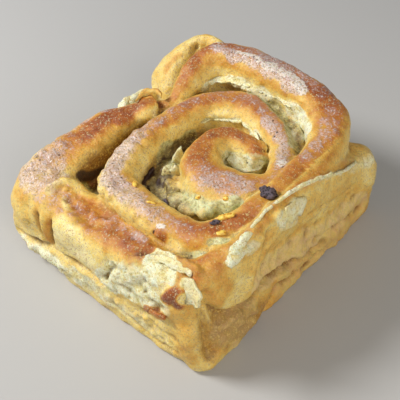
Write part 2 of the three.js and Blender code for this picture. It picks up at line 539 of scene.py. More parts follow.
# the coil runs from the heart, a turn at a time, to the tail
HEART = (
    Station(21, 9.5, 37.5, 2.5, 3.5, 0.8, 0.0),
    Station(14.5, 11.2, 39.8, 4, 4, 0.8, 0.2),
    Station(7.5, 9.5, 40.6, 4.5, 5, 0.8, 0.3),
    Station(5, 2.5, 41, 5.7, 5, 0.85, 0.15),
    Station(8, -4.5, 40.8, 7.5, 6, 0.8, 0.2),
    Station(15.5, -8.2, 40, 8, 7.7, 0.7, 0.6),
    Station(24, -5.5, 39.4, 7, 8, 0.7, 0.5),
    Station(30.3, 1.5, 39.6, 5.5, 6, 0.6, 0.4),
)
MIDDLE = (
    Station(29.3, 8.5, 39.6, 4.5, 4.5, 0.45, 0.5),
    Station(24.5, 16.5, 39.6, 4.2, 4.4, 0.5, 0.5),
    Station(16.3, 22, 39.6, 4.5, 4.8, 0.6, 0.5),
    Station(6.5, 26, 39.5, 5, 5.4, 0.75, 0.5),
    Station(-2.5, 25.4, 39.6, 5.5, 7, 0.8, 0.45),
    Station(-10, 19.3, 39.5, 5, 6.3, 0.75, 0.45),
    Station(-13.3, 9.5, 39.2, 6, 6.2, 0.75, 0.4),
    Station(-14, -4, 38.2, 5.5, 5.3, 0.5, 0.6),
    Station(-13.3, -15.5, 37.3, 6, 5.4, 0.35, 0.95),
    Station(-8, -25, 36.9, 6.8, 5.7, 0.4, 0.95),
    Station(3.5, -27.8, 37.6, 7, 5, 0.45, 0.8),
    Station(16, -28.8, 38.6, 6.3, 5, 0.6, 0.6),
    Station(27.5, -26.8, 39.4, 6, 6.4, 0.75, 0.3),
    Station(34.3, -17.5, 40.4, 5.8, 5, 0.8, 0.15),
)
OUTER = (
    Station(35.8, -5.5, 41, 4.8, 3.6, 0.55, 0.3),
    Station(35.3, 7, 41.5, 4.5, 4.6, 0.7, 0.2),
    Station(35, 18, 42, 5.2, 6.2, 0.65, 0.25),
    Station(32.5, 29, 42.8, 6.5, 6.4, 0.7, 0.3),
    Station(26, 37, 44.2, 7, 6.8, 0.9, 0.35),
    Station(14, 40.2, 45.8, 6.5, 6, 0.9, 0.6),
    Station(0, 40.6, 46.6, 6.5, 5.6, 0.9, 0.7),
    Station(-12, 40.6, 46.4, 6.5, 5.4, 0.85, 0.5),
    Station(-21.5, 36.5, 45.4, 6.5, 4.6, 0.8, 0.3),
    Station(-23.2, 25, 41.6, 5, 3.6, 0.8, 0.2),
    Station(-21.8, 14.5, 36, 3.6, 3.4, 0.5, 0.2),
    Station(-28.5, 4, 35.4, 5, 7.2, 0.9, 0.05),
    Station(-33, -10, 34.4, 7.5, 8.8, 0.95, 0.05),
    Station(-34.5, -24, 32.4, 9, 9.2, 0.6, 0.6),
    Station(-33.5, -34, 30.9, 9, 9.6, 0.4, 0.85),
)
BAND = (
    Station(-24, -37.4, 30.8, 10.6, 8.2, 0.5, 0.55),
    Station(-9, -37.8, 31.4, 9, 7.6, 0.6, 0.4),
    Station(7, -38.8, 32.6, 7.4, 7, 0.75, 0.25),
    Station(22, -39.4, 35, 6.2, 6.2, 0.75, 0.3),
    Station(33, -37.6, 37.2, 4.8, 7.4, 0.7, 0.2),
    Station(38.3, -30, 39, 4, 5, 0.5, 0.1),
    Station(40, -20, 41.2, 3, 3.4, 0.5, 0.1),
    Station(40.3, -8, 42.4, 2.6, 3, 0.55, 0.2),
    Station(40.3, 4, 41.5, 2.6, 3, 0.55, 0.2),
    Station(40.3, 14, 38.7, 3, 3.2, 0.5, 0.2),
    Station(40, 24, 34.8, 3.5, 3.6, 0.45, 0.1),
    Station(39, 33, 31, 5, 4.8, 0.3, 0.0),
    Station(37.4, 39, 28.8, 6, 6.2, 0.3, 0.0),
)
COIL = Strip(HEART + MIDDLE + OUTER + BAND, fullness=0.72)
FOLD = Strip(
    (
        Station(-22, 43, 43.4, 2.5, 2.4),
        Station(-29.6, 42.6, 44.7, 3.4, 3),
        Station(-33.6, 37.5, 42.4, 5, 6.6),
        Station(-34.2, 30.5, 38.8, 5.2, 8.4),
        Station(-34, 25.5, 34.5, 5.4, 8.6),
        Station(-34.4, 22.5, 28, 5.6, 8),
    ),
    fullness=1.15,
)
CURL = Strip(
    (
        Station(-24.6, -42.6, 29, 1.3, 1.3),
        Station(-25.6, -39, 31.6, 1.7, 1.5),
        Station(-24.4, -35.4, 32.8, 1.8, 1.7),
        Station(-21.4, -32.8, 32.8, 1.8, 1.7),
        Station(-18, -31.6, 31.8, 1.6, 1.6),
        Station(-14.8, -32.4, 30, 1.3, 1.3),
    ),
    foot=25,
    shoulder_drop=1.6,
)
SHEET = Strip(
    (
        Station(2, 33, 35.5, 3, 3),
        Station(10, 31.5, 36, 4, 4.5),
        Station(18, 27.5, 36.2, 4.5, 5),
        Station(25, 21, 36.4, 4.5, 5),
        Station(29.5, 13, 36.6, 4, 4),
    )
)
BLOCK = Block(
    half_x=43.4,
    half_y=46.1,
    levels=((0, 1), (2, 0.3), (8, 0), (14, 0), (18, 0.8), (21, 3)),
)
LOBES = (
    Lobe((31, -38.4, 13), (11, 8, 14)),
    Lobe((36.8, -31, 11), (7, 12.5, 12)),
    Lobe((-22, -35.8, 18), (20, 10, 9)),
    Lobe((-33, -34, 20), (11.2, 12.8, 11)),
    Lobe((7, -38.8, 16), (17, 7.2, 13)),
    Lobe((37.3, 38.2, 20), (7.5, 9, 10.4)),
    Lobe((8, 2, 25.2), (22, 26, 6.2)),
    Lobe((-35, 22, 14), (8, 20, 12)),
    Lobe((-25.5, 8, 33.4), (5.6, 6.2, 4.6), 20),
    Lobe((-38.6, 14.5, 24), (4, 9, 6.6)),
    Lobe((-39.6, 10, 27), (2.8, 4, 4)),
    Lobe((19, -7, 35), (10, 8, 5), 10),
    Lobe((-1.4, -8.4, 29.4), (3.4, 1.8, 2.8), 40),
    Lobe((4.4, -13, 30.4), (2.8, 2.2, 2.8), 40),
    Lobe((9.6, -17, 31), (3, 2.4, 3), 20),
    Lobe((15.4, -18.2, 31.8), (2.8, 2.2, 2.8)),
    Lobe((20.8, -17.2, 33), (2.8, 2.2, 2.6)),
)


# ---- The work on the skin -------------------------------------------------------------------------


# paths that more than one stroke follows
WEDGE = ((-19, -38, 30), (-13, -41, 30), (-8.5, -42, 30.5))
CRUST_SCRAP = ((24, -46.4, 19), (28, -46.6, 20), (31, -46.7, 21))
PINCH_CURL = ((-31, 8, 36), (-29.5, 11.6, 36.5), (-26, 12.4, 37.5))
NOSE_CREASE = ((41, -40.8, 31), (41, -40.6, 22), (42.4, -40.8, 14), (42.8, -40.8, 7))
CREVICE = ((42, -38, 24), (42.7, -35, 18.5), (43.6, -28, 17), (43.5, -21, 15.5))
CREVICE_END = ((43.5, -21, 15.5), (43.4, -17.5, 18), (43.2, -7, 15), (43.5, 1.5, 12), (43.5, 14, 9))
TAIL_PATCH = ((42.6, -9.5, 39.5), (43.4, -8, 36.5), (43.4, -4, 34), (43, -3, 40))
SHEET_END = ((15, 34, 38), (21, 31, 38), (25.5, 27, 38))

RAGS = (
    # the flap beside the blister, and the lip and the crust scrap of the torn patch
    Rag(
        ((37.4, -44.2, 29.6), (36, -43.8, 33), (34.8, -42.2, 36.8)),
        (7.2, -0.8, 3), 1.1, (0.15, 0.04), ragged=0.12,
    ),
    Rag(
        ((20, -41, 34.6), (25, -38.6, 36.4), (31, -38.6, 37.8), (36, -39.2, 38)),
        (0.3, -2.6, -0.4), 0.4, (0.2, 0.1), crumb=0.6,
    ),
    Rag(
        ((5, -45.2, 20), (8, -44.8, 24), (11, -44.4, 27.6), (14.6, -43.4, 31.6)),
        (2, -0.9, -0.6), 0.4, (0.7, 0.5), crumb=0.3,
    ),
    Rag(
        ((25, -45.8, 18.2), (29, -46.4, 19), (31.6, -46.2, 20.6)),
        (0.4, -0.7, 3.4), 0.4, (0.5, 0.85), crumb=0.2,
    ),
    # the shard and the leaf in the heart's valley
    Rag(
        ((-4.6, -4.6, 29.4), (-2.6, -3, 29.4), (-0.6, -1.4, 29.4)),
        (1.6, 0.4, 7), 0.6, (0.15, 0.05), crumb=0.6, filling=0.5, ragged=0.8,
    ),
    Rag(
        ((-3, -10.4, 29.4), (-0.6, -8.4, 29.8), (2, -6.4, 30)),
        (0.4, -0.6, 4.6), 0.6, (0.15, 0.05), crumb=0.6, filling=0.5, ragged=0.8,
    ),
    Rag(
        ((11, 5.2, 33.4), (14.5, 4.4, 32.4), (18.5, 5.6, 31.8), (21.6, 9, 32.6)),
        (0.8, 3, 4.2), -0.8, (0.1, 0.1), crumb=0.7, filling=0.5, ragged=0.1,
    ),
    # the torn inner edges of the back strand and of the middle turn
    Rag(
        (
            (-18.4, 27.6, 36.6), (-15.6, 32.4, 38), (-9.4, 35, 39.6),
            (-1, 35.6, 40), (6, 35.4, 40.2), (12, 35, 40),
        ),
        (0.1, -2.4, -1.3), 0.5, (0.25, 0.05), crumb=0.7,
    ),
    Rag(
        ((8, 34.8, 40.8), (11.4, 34.8, 41.2), (15, 34, 40.4)),
        (0.3, -1.9, -1.6), 0.4, (0.3, 0.05), crumb=0.6,
    ),
    Rag(
        (
            (-8.4, 13, 34.4), (-5.4, 18.6, 35.4), (0, 21.4, 36),
            (6, 21.4, 36.4), (12, 18.6, 37), (17.5, 14, 37.6),
        ),
        (0.4, -2, -0.7), 0.5, (0.2, 0.05), crumb=0.7,
    ),
    # the pale rim of the tail, and the patch that hangs from it
    Rag(
        (
            (39.6, -19, 40.8), (39.4, -12.5, 42), (40.4, -4, 42.6), (41.3, 2, 42.2),
            (41.7, 9, 40.2), (42.3, 17, 36.6), (42.3, 25, 33), (41.2, 32, 30.6),
        ),
        (0.5, 0, 1.3), 0.2, (0.3, 0.1), crumb=0.6,
    ),
    Rag(
        ((42.8, 2, 39.4), (42.6, -2, 41.4), (42.6, -7, 41.4), (42.8, -11, 39)),
        (1.1, 0.3, -6.4), 0.5, (0.3, 0.15), crumb=0.6,
    ),
    # the pale lump where the tail begins
    Rag(
        ((43, -31, 36.6), (42.6, -27, 38.8), (42, -23, 39.8), (41.6, -20, 40.4)),
        (-2.6, -0.8, 1), 0.4, (0.2, 0.05), crumb=0.8,
    ),
    # the curl at the pinch
    Rag(
        ((-31, 7, 35), (-30.2, 10.4, 36.2), (-27, 12.8, 37), (-24, 12.6, 36.6)),
        (-0.6, 1.2, 1.8), 0.6, (0.25, 0.6), crumb=0.1,
    ),
)

SHAPING = (
    # the ledge under the left bulge, the bulge, and the wrinkles beside it
    Stroke(
        ((-40, -46, 8.5), (-28, -46.3, 11), (-20, -46.6, 13.5), (-5, -46.5, 14.5), (4, -46.5, 15)),
        2, -1.9, 0.8,
    ),
    Stroke(((-44, -45, 0), (-30, -47, 0), (-20, -47, 1)), 6, -1.5),
    Stroke(((-32, -46.4, 5), (-20, -46.4, 7), (-8, -46.5, 8)), 4, 0.7, rough=0.8),
    Stroke(((-11, -45.4, 25), (-4, -45.6, 24), (3, -45.6, 22)), 8, 1.0),
    Stroke(((-25.6, -42.5, 28), (-24.6, -44.7, 24.7), (-24, -45.2, 19.5), (-22, -46, 14)), 1.9, -2.0, 0.8),
    Stroke(((-20, -41, 29.4), (-18.4, -43.6, 28), (-18, -45.8, 24), (-19.6, -46.4, 17)), 1.8, -2.0, 0.8),
    Stroke(((-22.6, -42.8, 29), (-21.4, -45, 26), (-20.6, -46, 21), (-20.6, -46.2, 17)), 1.7, 1.5, 0.9),
    # the sunken patch inside the curled lip, and the small wedge of skin beside it
    Stroke(((-16.5, -37.5, 30), (-9, -36.5, 31), (-4, -38, 31)), 5.5, -1.4, 0.6, 0.6),
    Stroke(WEDGE, 1.6, 1.3, 0.7, 0.3),
    # the torn patch on the front, its lip, the blister and the bits of crust below it
    Stroke(((9, -45.2, 18), (18, -46, 24), (25, -46, 26)), 7, 0.5, 0.8, 0.8, 0.5),
    Stroke(((6, -46, 19), (9, -45.4, 24), (14, -44, 30), (19, -40, 35)), 1.6, -1.2, 0.8, 0.4, 0.4),
    Stroke(((21, -38.4, 36), (25, -37.4, 36), (31, -37.6, 37.6), (37, -38.6, 38)), 1.5, 1.4, 0.7, 0.4, 0.6),
    Stroke(((32, -46.2, 29.5), (34, -45, 32.5), (35.5, -45, 33), (35.5, -45.8, 29)), 2.8, 1.1, 0.8),
    Stroke(CRUST_SCRAP, 1.8, 1.1, 0.7, 0.5, 0.6),
    # the pinch between the back strand and the left strand, and the groove of the fold
    Stroke(((-30, 14, 35), (-24, 12.6, 37), (-20, 9.5, 36), (-18.5, 6, 35)), 1.9, -1.9, 0.8, 0.3),
    Stroke(PINCH_CURL, 1.2, 1.1, 0.8, 0.3),
    Stroke(
        ((-29.8, 37, 42), (-29.2, 34, 40.5), (-28.8, 30.6, 38.5), (-28.4, 26.4, 36), (-28, 22, 34)),
        2.2, -2.6, 0.8, 0.3,
    ),
    # the crease beside the nose, the crevice of the torn side, and the notch at its foot
    Stroke(((41.5, -40, 31), (41.5, -40, 22), (42.8, -40.6, 14), (43.2, -40.6, 8)), 4.2, -1.8, 0.8, 0.4),
    Stroke(NOSE_CREASE, 1.9, -1.6, 0.8, 0.3),
    Stroke(((42.6, -43.6, 1), (40, -45.4, 1)), 5, 1.0, 0.9),
    Stroke(((36, -46, 22), (37, -46.5, 12), (37.5, -46, 6)), 5, 0.6, 0.9),
    Stroke(((4, -46.2, 9), (18, -46.4, 11), (32, -46.4, 9)), 7, 0.5, 0.8, 1.0, 2.2),
    Stroke(((8, -46.4, 8), (18, -46.5, 5), (26, -46.5, 4), (33, -46.4, 7)), 1.7, -1.3, 0.8, 1.0, 0.6),
    Stroke(((20, -46.4, 15), (27, -46.5, 12), (34, -46.4, 13)), 1.5, -1.0, 0.8, 1.0, 0.6),
    Stroke(CREVICE, 2.4, -3.2, 0.8, 0.6),
    Stroke(CREVICE_END, 2.2, -2.6, 0.8, 0.8),
    Stroke(((43.5, -17, 0), (43.5, -13, 5), (43.5, -11, 9)), 3, -1.8, 0.8, 0.6),
    Stroke(((43.3, -14, 25), (43.5, 0, 23), (43.6, 14, 21), (43.5, 28, 18)), 6, -1.2, 0.7, 0.8, 0.6),
    Stroke(((43.5, -39, 4), (43.5, -28, 6), (43.5, -23, 7)), 8, 1.2, 0.8),
    Stroke(((43.6, -34, 12), (43.6, -27, 8), (43.6, -19, 6)), 1.6, -1.5, 0.8, 0.9, 0.8),
    Stroke(((43.5, -8, 8), (43.5, 6, 5), (43.5, 19, 4)), 1.6, -1.5, 0.8, 0.9, 0.8),
    Stroke(((43.5, 10, 14), (43.5, 23, 11), (43.5, 36, 9)), 1.8, -1.3, 0.8, 0.9, 0.8),
    Stroke(((43.2, -18, 38), (43.6, -21, 31), (43.6, -24, 23)), 2.0, 0.9, 0.7, 0.4),
    Stroke(((43.2, -14.5, 38), (43.6, -17, 31), (43.6, -20, 24)), 1.8, -1.2, 0.8, 0.4),
    Stroke(TAIL_PATCH, 3.2, 0.8, 0.3, 1.2, 0.4),
    Stroke(((43.4, 4, 30), (43.6, 16, 26), (43.6, 30, 22)), 1.8, -0.9, 0.8, 0.6),
    # the lumpy skin of the left corner, the band and the middle turn's front, and the pulled far sides
    Stroke(((-39, -22, 31), (-37, -32, 30), (-30, -38, 31), (-25, -34, 31)), 8, 0.8, 0.8, 1.0, 1.1),
    Stroke(((-18, -37, 31), (0, -38, 32), (20, -39, 35)), 5.5, 0.6, 0.8, 0.8, 2.0),
    Stroke(((-42, -30, 26), (-40, -41, 25), (-31, -45, 25)), 1.5, -1.1, 0.8, 1.2, 0.8),
    Stroke(((-42.6, -36, 18), (-38, -45, 19), (-30, -46, 19)), 1.5, -1.1, 0.8, 1.2, 0.8),
    Stroke(
        ((-14, -8, 37), (-14, -18, 36), (-9, -27, 35), (0, -31, 35), (12, -32, 36)),
        5.5, 0.8, 0.7, 0.8, 1.4,
    ),
    Stroke(((2, -42, 30), (5, -38, 33), (4, -34, 33)), 1.2, -0.9, 0.8, 0.6),
    Stroke(((9, -43.5, 30), (12, -40, 33), (12, -36, 34)), 1.2, -0.9, 0.8, 0.6),
    Stroke(((-36, -6, 30), (-38, 4, 28), (-38, 12, 24)), 5, 0.6, 0.8, 0.8, 1.2),
    Stroke(
        ((-43.4, -30, 15), (-43.4, -10, 17), (-43.4, 12, 14), (-43.4, 36, 18)),
        2.2, -1.2, 0.8, 1.2, 0.5,
    ),
    Stroke(((-36, 46.1, 22), (-15, 46.1, 18), (10, 46.1, 21), (36, 46.1, 16)), 2.2, -1.2, 0.8, 1.2, 0.5),
    # torn edges inside the coil
    Stroke(
        ((-16.6, 27.5, 35), (-12, 33, 36.5), (-5, 35, 37.5), (3, 35, 37.5), (10, 35, 37)),
        2.6, 0.9, 0.8, 0.6, 0.9,
    ),
    Stroke(
        ((-10, 10, 34), (-8, 16, 35), (-2, 20.5, 36), (4, 21.5, 36), (10, 20.5, 36.5), (19, 13, 37)),
        1.7, 0.9, 0.8, 0.5, 0.9,
    ),
    Stroke(((18, 31, 36), (22, 29, 37), (24, 26, 36)), 3.2, 0.9, 0.7, 0.5, 0.5),
    # the crumbling rim of the tail, the pale lump at its start, the bits in the valleys
    Stroke(((41, -21, 40.5), (40.5, -14, 42), (41, -6, 42.6), (41.4, 2, 41.6)), 1.2, 0.5, 0.8, 0.4, 0.9),
    Stroke(((41.6, -28.4, 38), (41, -24, 39.6), (42.6, -22.5, 37)), 2.4, 1.2, 0.7, 0.6, 0.6),
    Stroke(((35, -29, 37), (37, -24.5, 38.5)), 1.8, 0.9, 0.8, 0.4, 0.6),
    Stroke(((18.5, -33.6, 36),), 2.2, 1.2, 0.8, 0.4, 0.6),
    Stroke(((-2, -8, 31.5), (-1, -13, 31), (5, -16, 31), (12, -17.5, 31)), 4.5, 0.9, 0.7, 0.5, 1.2),
    Stroke(((16, -15.5, 33), (22, -15, 34), (27, -12, 36)), 3.5, 0.7, 0.7, 0.5, 1.2),
    Stroke(((20.6, 9, 34.5), (20.2, 6, 33)), 0.7, -0.9, 0.9),
)

BROWNING_STROKES = (
    # the front face, its wrinkles, the curled lip and the crust round the torn patch
    Stroke(((-11, -45.6, 25), (-4, -46, 23), (5, -46, 20)), 8.5, 0.05, 0.5, 1.2),
    Stroke(((-42, -40, 20), (-38, -46, 18), (-31, -46.5, 20)), 9, 0.25, 0.6, 1.0),
    Stroke(((-42.4, -36, 27), (-38, -42, 27.6), (-32, -44.6, 27)), 4, 0.46, 0.8, 1.2, 0.6),
    Stroke(((-25, -43, 28.5), (-23.5, -45, 24), (-22, -46, 15)), 4.4, 0.56, 1.0, 0.8),
    Stroke(((-20, -42, 29), (-19, -45.6, 24), (-20, -46.4, 18)), 2.6, 0.6, 0.9, 0.6),
    Stroke(((-24.4, -39, 32), (-24, -35.4, 33), (-21.4, -32.8, 33), (-16, -32, 31)), 2.2, 0.25, 0.5),
    Stroke(((-15, -37, 30), (-9, -36.8, 30.5), (-3, -38.4, 31)), 5, 0.7, 0.5, 1.0),
    Stroke(WEDGE, 1.6, 0.2, 0.5, 0.3),
    Stroke(((18, -33.4, 36), (20, -33.8, 36)), 2.2, 0.9, 0.6, 0.5),
    Stroke(((33, -38.5, 37), (37.5, -37.5, 37), (40, -36, 34)), 5.5, 0.66, 0.6, 1.0),
    Stroke(((39, -42, 30), (38.5, -44, 26)), 4, 0.5, 0.7, 0.8),
    Stroke(((35.5, -45.5, 23), (37, -46, 14), (37, -46.5, 6)), 6.5, 0.42, 0.6, 1.0),
    Stroke(((32, -46.5, 29.5), (34, -45, 32.5), (35.5, -45, 33), (35.5, -46, 28)), 3.0, 1.0, 0.6, 0.4),
    Stroke(((36, -43, 36), (36.8, -44.6, 32), (37, -45, 30)), 1.6, 0.75, 0.6, 0.3),
    Stroke(((25, -41, 36), (28, -43.5, 34), (26, -45.6, 28), (18, -46, 24)), 6, 0.03, 0.3),
    Stroke(((31.5, -46.8, 28), (33.5, -45.6, 31.5)), 2.6, 1.0, 0.5, 0.4),
    Stroke(CRUST_SCRAP, 2.0, 0.85, 0.5, 0.6),
    Stroke(
        ((36.6, -43.4, 36.8), (40.8, -42.2, 37.6), (41.4, -42.8, 31.6), (37.4, -44, 31.4)),
        2.8, 0.14, 0.3,
    ),
    Stroke(
        ((43.3, -22, 33), (43.5, -7, 33), (43.6, 6, 33), (43.8, 18, 29), (43.4, 30, 24)),
        7.5, 0.36, 0.6, 1.4,
    ),
    Stroke(
        ((-20, 32, 43), (-12, 35, 43.6), (0, 35.4, 43.6), (14, 34.6, 43), (24, 30, 42)),
        2.8, 0.55, 0.7, 0.8, 0.4,
    ),
    Stroke(((40.5, -36, 34), (42.6, -33, 31), (42, -36, 27)), 5.5, 0.52, 0.7, 0.8),
    Stroke(SHEET_END, 4.6, 0.04, 0.5, 0.8),
    Stroke(((43.3, -14, 20), (43.5, 0, 16), (43.6, 14, 13), (43.4, 32, 10)), 13, 0.44, 0.5, 1.4),
    Stroke(((43.3, -12, 4), (43.5, 14, 3), (43.4, 38, 3)), 9, 0.5, 0.5, 1.4),
    Stroke(((43.6, -32, 10), (43.5, -22, 6)), 14, 0.46, 0.6, 1.0),
    Stroke(((-31, 41.5, 43), (-37, 33, 38), (-40, 27, 33)), 6, 0.26, 0.5, 0.5),
    Stroke(((-33.5, 32, 39.8), (-34.6, 29, 37.6), (-35.2, 26, 35.2)), 2.0, 0.55, 0.8, 0.6),
    Stroke(((-29, 43.5, 44.5), (-31.5, 42, 44.5)), 1.8, 0.5, 0.8, 0.4),
    Stroke(PINCH_CURL, 1.3, 0.75, 0.6),
)
GLAZE_STROKES = (
    # thicker glaze on the left corner, the band, the heart, the back strand and the middle turn
    Stroke(((-37, -33, 31), (-34, -28, 32), (-28, -31, 30), (-28, -37, 30)), 5, 0.75, 0.7, 1.4, 0.5),
    Stroke(((0, -35.6, 31), (8, -36.4, 32.3), (15, -37, 33.4)), 3.2, 0.6, 0.7, 1.2, 0.8),
    Stroke(((17, -11, 39.5), (21, -6, 39.5), (27, -6.5, 39.4)), 4.4, 0.75, 0.7, 1.2, 0.5),
    Stroke(((-19, 37, 45.6), (-8, 37, 46.4), (4, 37, 46.2), (15, 35.6, 44.8)), 3.6, 0.95, 0.7, 1.2, 0.4),
    Stroke(((13, 22, 39.6), (18.5, 20, 39.7), (25, 16, 39.6), (29, 9, 39.6)), 3, 0.85, 0.7, 0.8, 0.3),
    Stroke(((-18, 6, 36), (-16, 13, 37.5)), 4, 0.5, 0.7, 1.0, 0.4),
    Stroke(((29, 33, 43.4), (33.6, 25, 42.4), (35.4, 14, 42)), 3.4, 0.6, 0.7, 1.4, 0.8),
    Stroke(((-40, -18, 31), (-38.5, -8, 33), (-35, 2, 34)), 2.6, 0.65, 0.7, 0.8, 0.4),
)
ICING_STROKES = (
    # flakes of dried icing on the back strand, the heart, the band and the left corner
    Stroke(((-24.5, 40, 44.5), (-21, 39.5, 46)), 1.6, 0.8, 0.4, 1.0),
    Stroke(((-12, 39.2, 46.6), (-6, 38.8, 46.8)), 1.5, 0.55, 0.4, 1.2),
    Stroke(((-3, 38.2, 47), (3, 38.4, 46.8), (9, 38.2, 46.2)), 2.6, 0.65, 0.5, 1.4),
    Stroke(((9, 39.3, 46), (15, 37.8, 45.2), (17.5, 36, 44.6)), 2.0, 0.95, 0.35, 1.2),
    Stroke(((29.5, 9, 39.7),), 1.9, 1.0, 0.35, 0.5),
    Stroke(((17, -32.6, 37.5), (18.4, -31.8, 38)), 0.9, 0.9, 0.4, 0.4),
    Stroke(((-33, -36, 30.5), (-31, -35, 30.5)), 1.4, 0.5, 0.7, 0.8),
)
CRUMB_STROKES = (
    # the torn patch, the foot, the torn side with its rim, the tears in the coil and the far sides
    Stroke(((9, -45.2, 20), (18, -46, 28), (22.4, -44, 33.4), (27, -41.6, 35.4)), 6.4, 1.0, 0.2, 1.4),
    Stroke(((15, -46, 21), (23, -46, 23), (28, -46, 23)), 5.4, 1.0, 0.25, 1.4),
    Stroke(((24, -41, 36), (29, -42, 36), (33, -41.5, 36.5)), 4.0, 1.0, 0.25, 0.8),
    Stroke(((21, -38.4, 36), (25, -37.6, 37), (31, -38, 38), (36, -39, 38)), 1.6, 0.6, 0.4, 0.6),
    Stroke(((-38, -46.4, 4), (-20, -46.6, 7), (-8, -46.5, 8), (4, -46.5, 9)), 5.5, 0.7, 0.5, 1.2),
    Stroke(((8, -46.5, 8), (20, -46.5, 8)), 6, 0.5, 0.7, 1.4),
    Stroke(((43.3, -16, 20), (43.5, 0, 17), (43.6, 14, 14), (43.5, 32, 10)), 9, 0.75, 0.5, 2.0),
    Stroke(((43.5, -6, 7), (43.5, 12, 4), (43.5, 34, 4)), 8, 0.7, 0.6, 1.6),
    Stroke(((43.4, -34, 12), (43.5, -26, 12), (43.5, -28, 4)), 9, 0.7, 0.6, 1.6),
    Stroke(((41, 27, 33), (42, 33, 30), (42, 40, 26)), 4, 0.6, 0.6, 1.4),
    Stroke(TAIL_PATCH, 3.2, 0.85, 0.3, 1.2),
    Stroke(((41.6, -28.4, 38), (41, -24, 39.8), (42.8, -22, 37)), 3.2, 0.95, 0.5, 0.8),
    Stroke(((40, -20, 41), (39.4, -13, 42.2), (40.4, -4, 42.8), (41.3, 2, 42.2)), 1.7, 0.9, 0.5, 0.8),
    Stroke(((41.3, 2, 42), (41.8, 10, 39.8), (42.4, 22, 34.5)), 1.7, 0.85, 0.6, 0.8),
    Stroke(
        ((-16.6, 27.5, 35), (-12, 32.5, 37.5), (-5, 35, 38.6), (3, 35.4, 38.6), (10, 35.5, 38)),
        2.7, 0.9, 0.4, 1.0,
    ),
    Stroke(((15, 35, 37.5), (20, 32, 37.5), (25, 28, 37.5), (24, 25, 36)), 4, 0.75, 0.6, 1.0),
    Stroke(
        ((-10, 10, 33), (-8, 16, 34), (-2, 20.5, 35), (4, 21.5, 35), (10, 20.5, 35.5), (19, 13, 36)),
        2, 0.85, 0.5, 0.8,
    ),
    Stroke(((-38, 8, 31), (-41, 12, 28), (-42, 18, 26)), 6, 0.85, 0.5, 1.0),
    Stroke(((-43.4, -26, 16), (-43.4, -6, 19), (-43.4, 14, 18), (-43.4, 34, 22)), 9, 0.55, 0.6, 2.4),
    Stroke(((-32, 46.1, 24), (-12, 46.1, 20), (12, 46.1, 24), (33, 46.1, 20)), 10, 0.55, 0.6, 2.4),
    Stroke(SHEET_END, 4, 1.0, 0.4, 0.8),
    Stroke(((12, 4, 33), (17, 5, 33), (21, 7, 34)), 5.5, 0.62, 0.5, 0.4),
)
FILLING_STROKES = (
    # round the heart, under the back strand, in the pocket by the curl and in the front valley
    Stroke(
        ((-8, -3, 31), (-3, -9, 31), (-2, -14, 30.5), (4, -17, 30.5), (11, -18, 30.5)),
        5.5, 0.95, 0.5, 1.0,
    ),
    Stroke(((12, -16, 31), (17, -16, 33), (23, -15, 34), (28, -11.5, 36)), 4.8, 0.9, 0.5, 1.2),
    Stroke(((-6, 3, 31), (-7, 9, 31)), 4, 0.8, 0.6, 0.8),
    Stroke(((12, 5, 33), (17, 7, 33), (21, 9, 34), (20, 4, 33)), 5, 0.85, 0.5, 0.6),
    Stroke(
        ((0, 31.5, 36), (6, 32, 36), (14, 29.5, 36.5), (21, 25, 36.5), (26, 19.5, 37)),
        4.4, 0.9, 0.5, 0.8,
    ),
    Stroke(((-25, -26, 22), (-22, -25.4, 21), (-18, -28, 24)), 4, 0.9, 0.5, 0.8),
    Stroke(((26, -33.5, 33), (31, -32, 34), (36, -29.5, 35)), 2.4, 0.8, 0.6, 0.6),
    Stroke(((33, -28, 38), (37, -25, 38.8)), 2.0, 0.7, 0.6, 0.6),
)
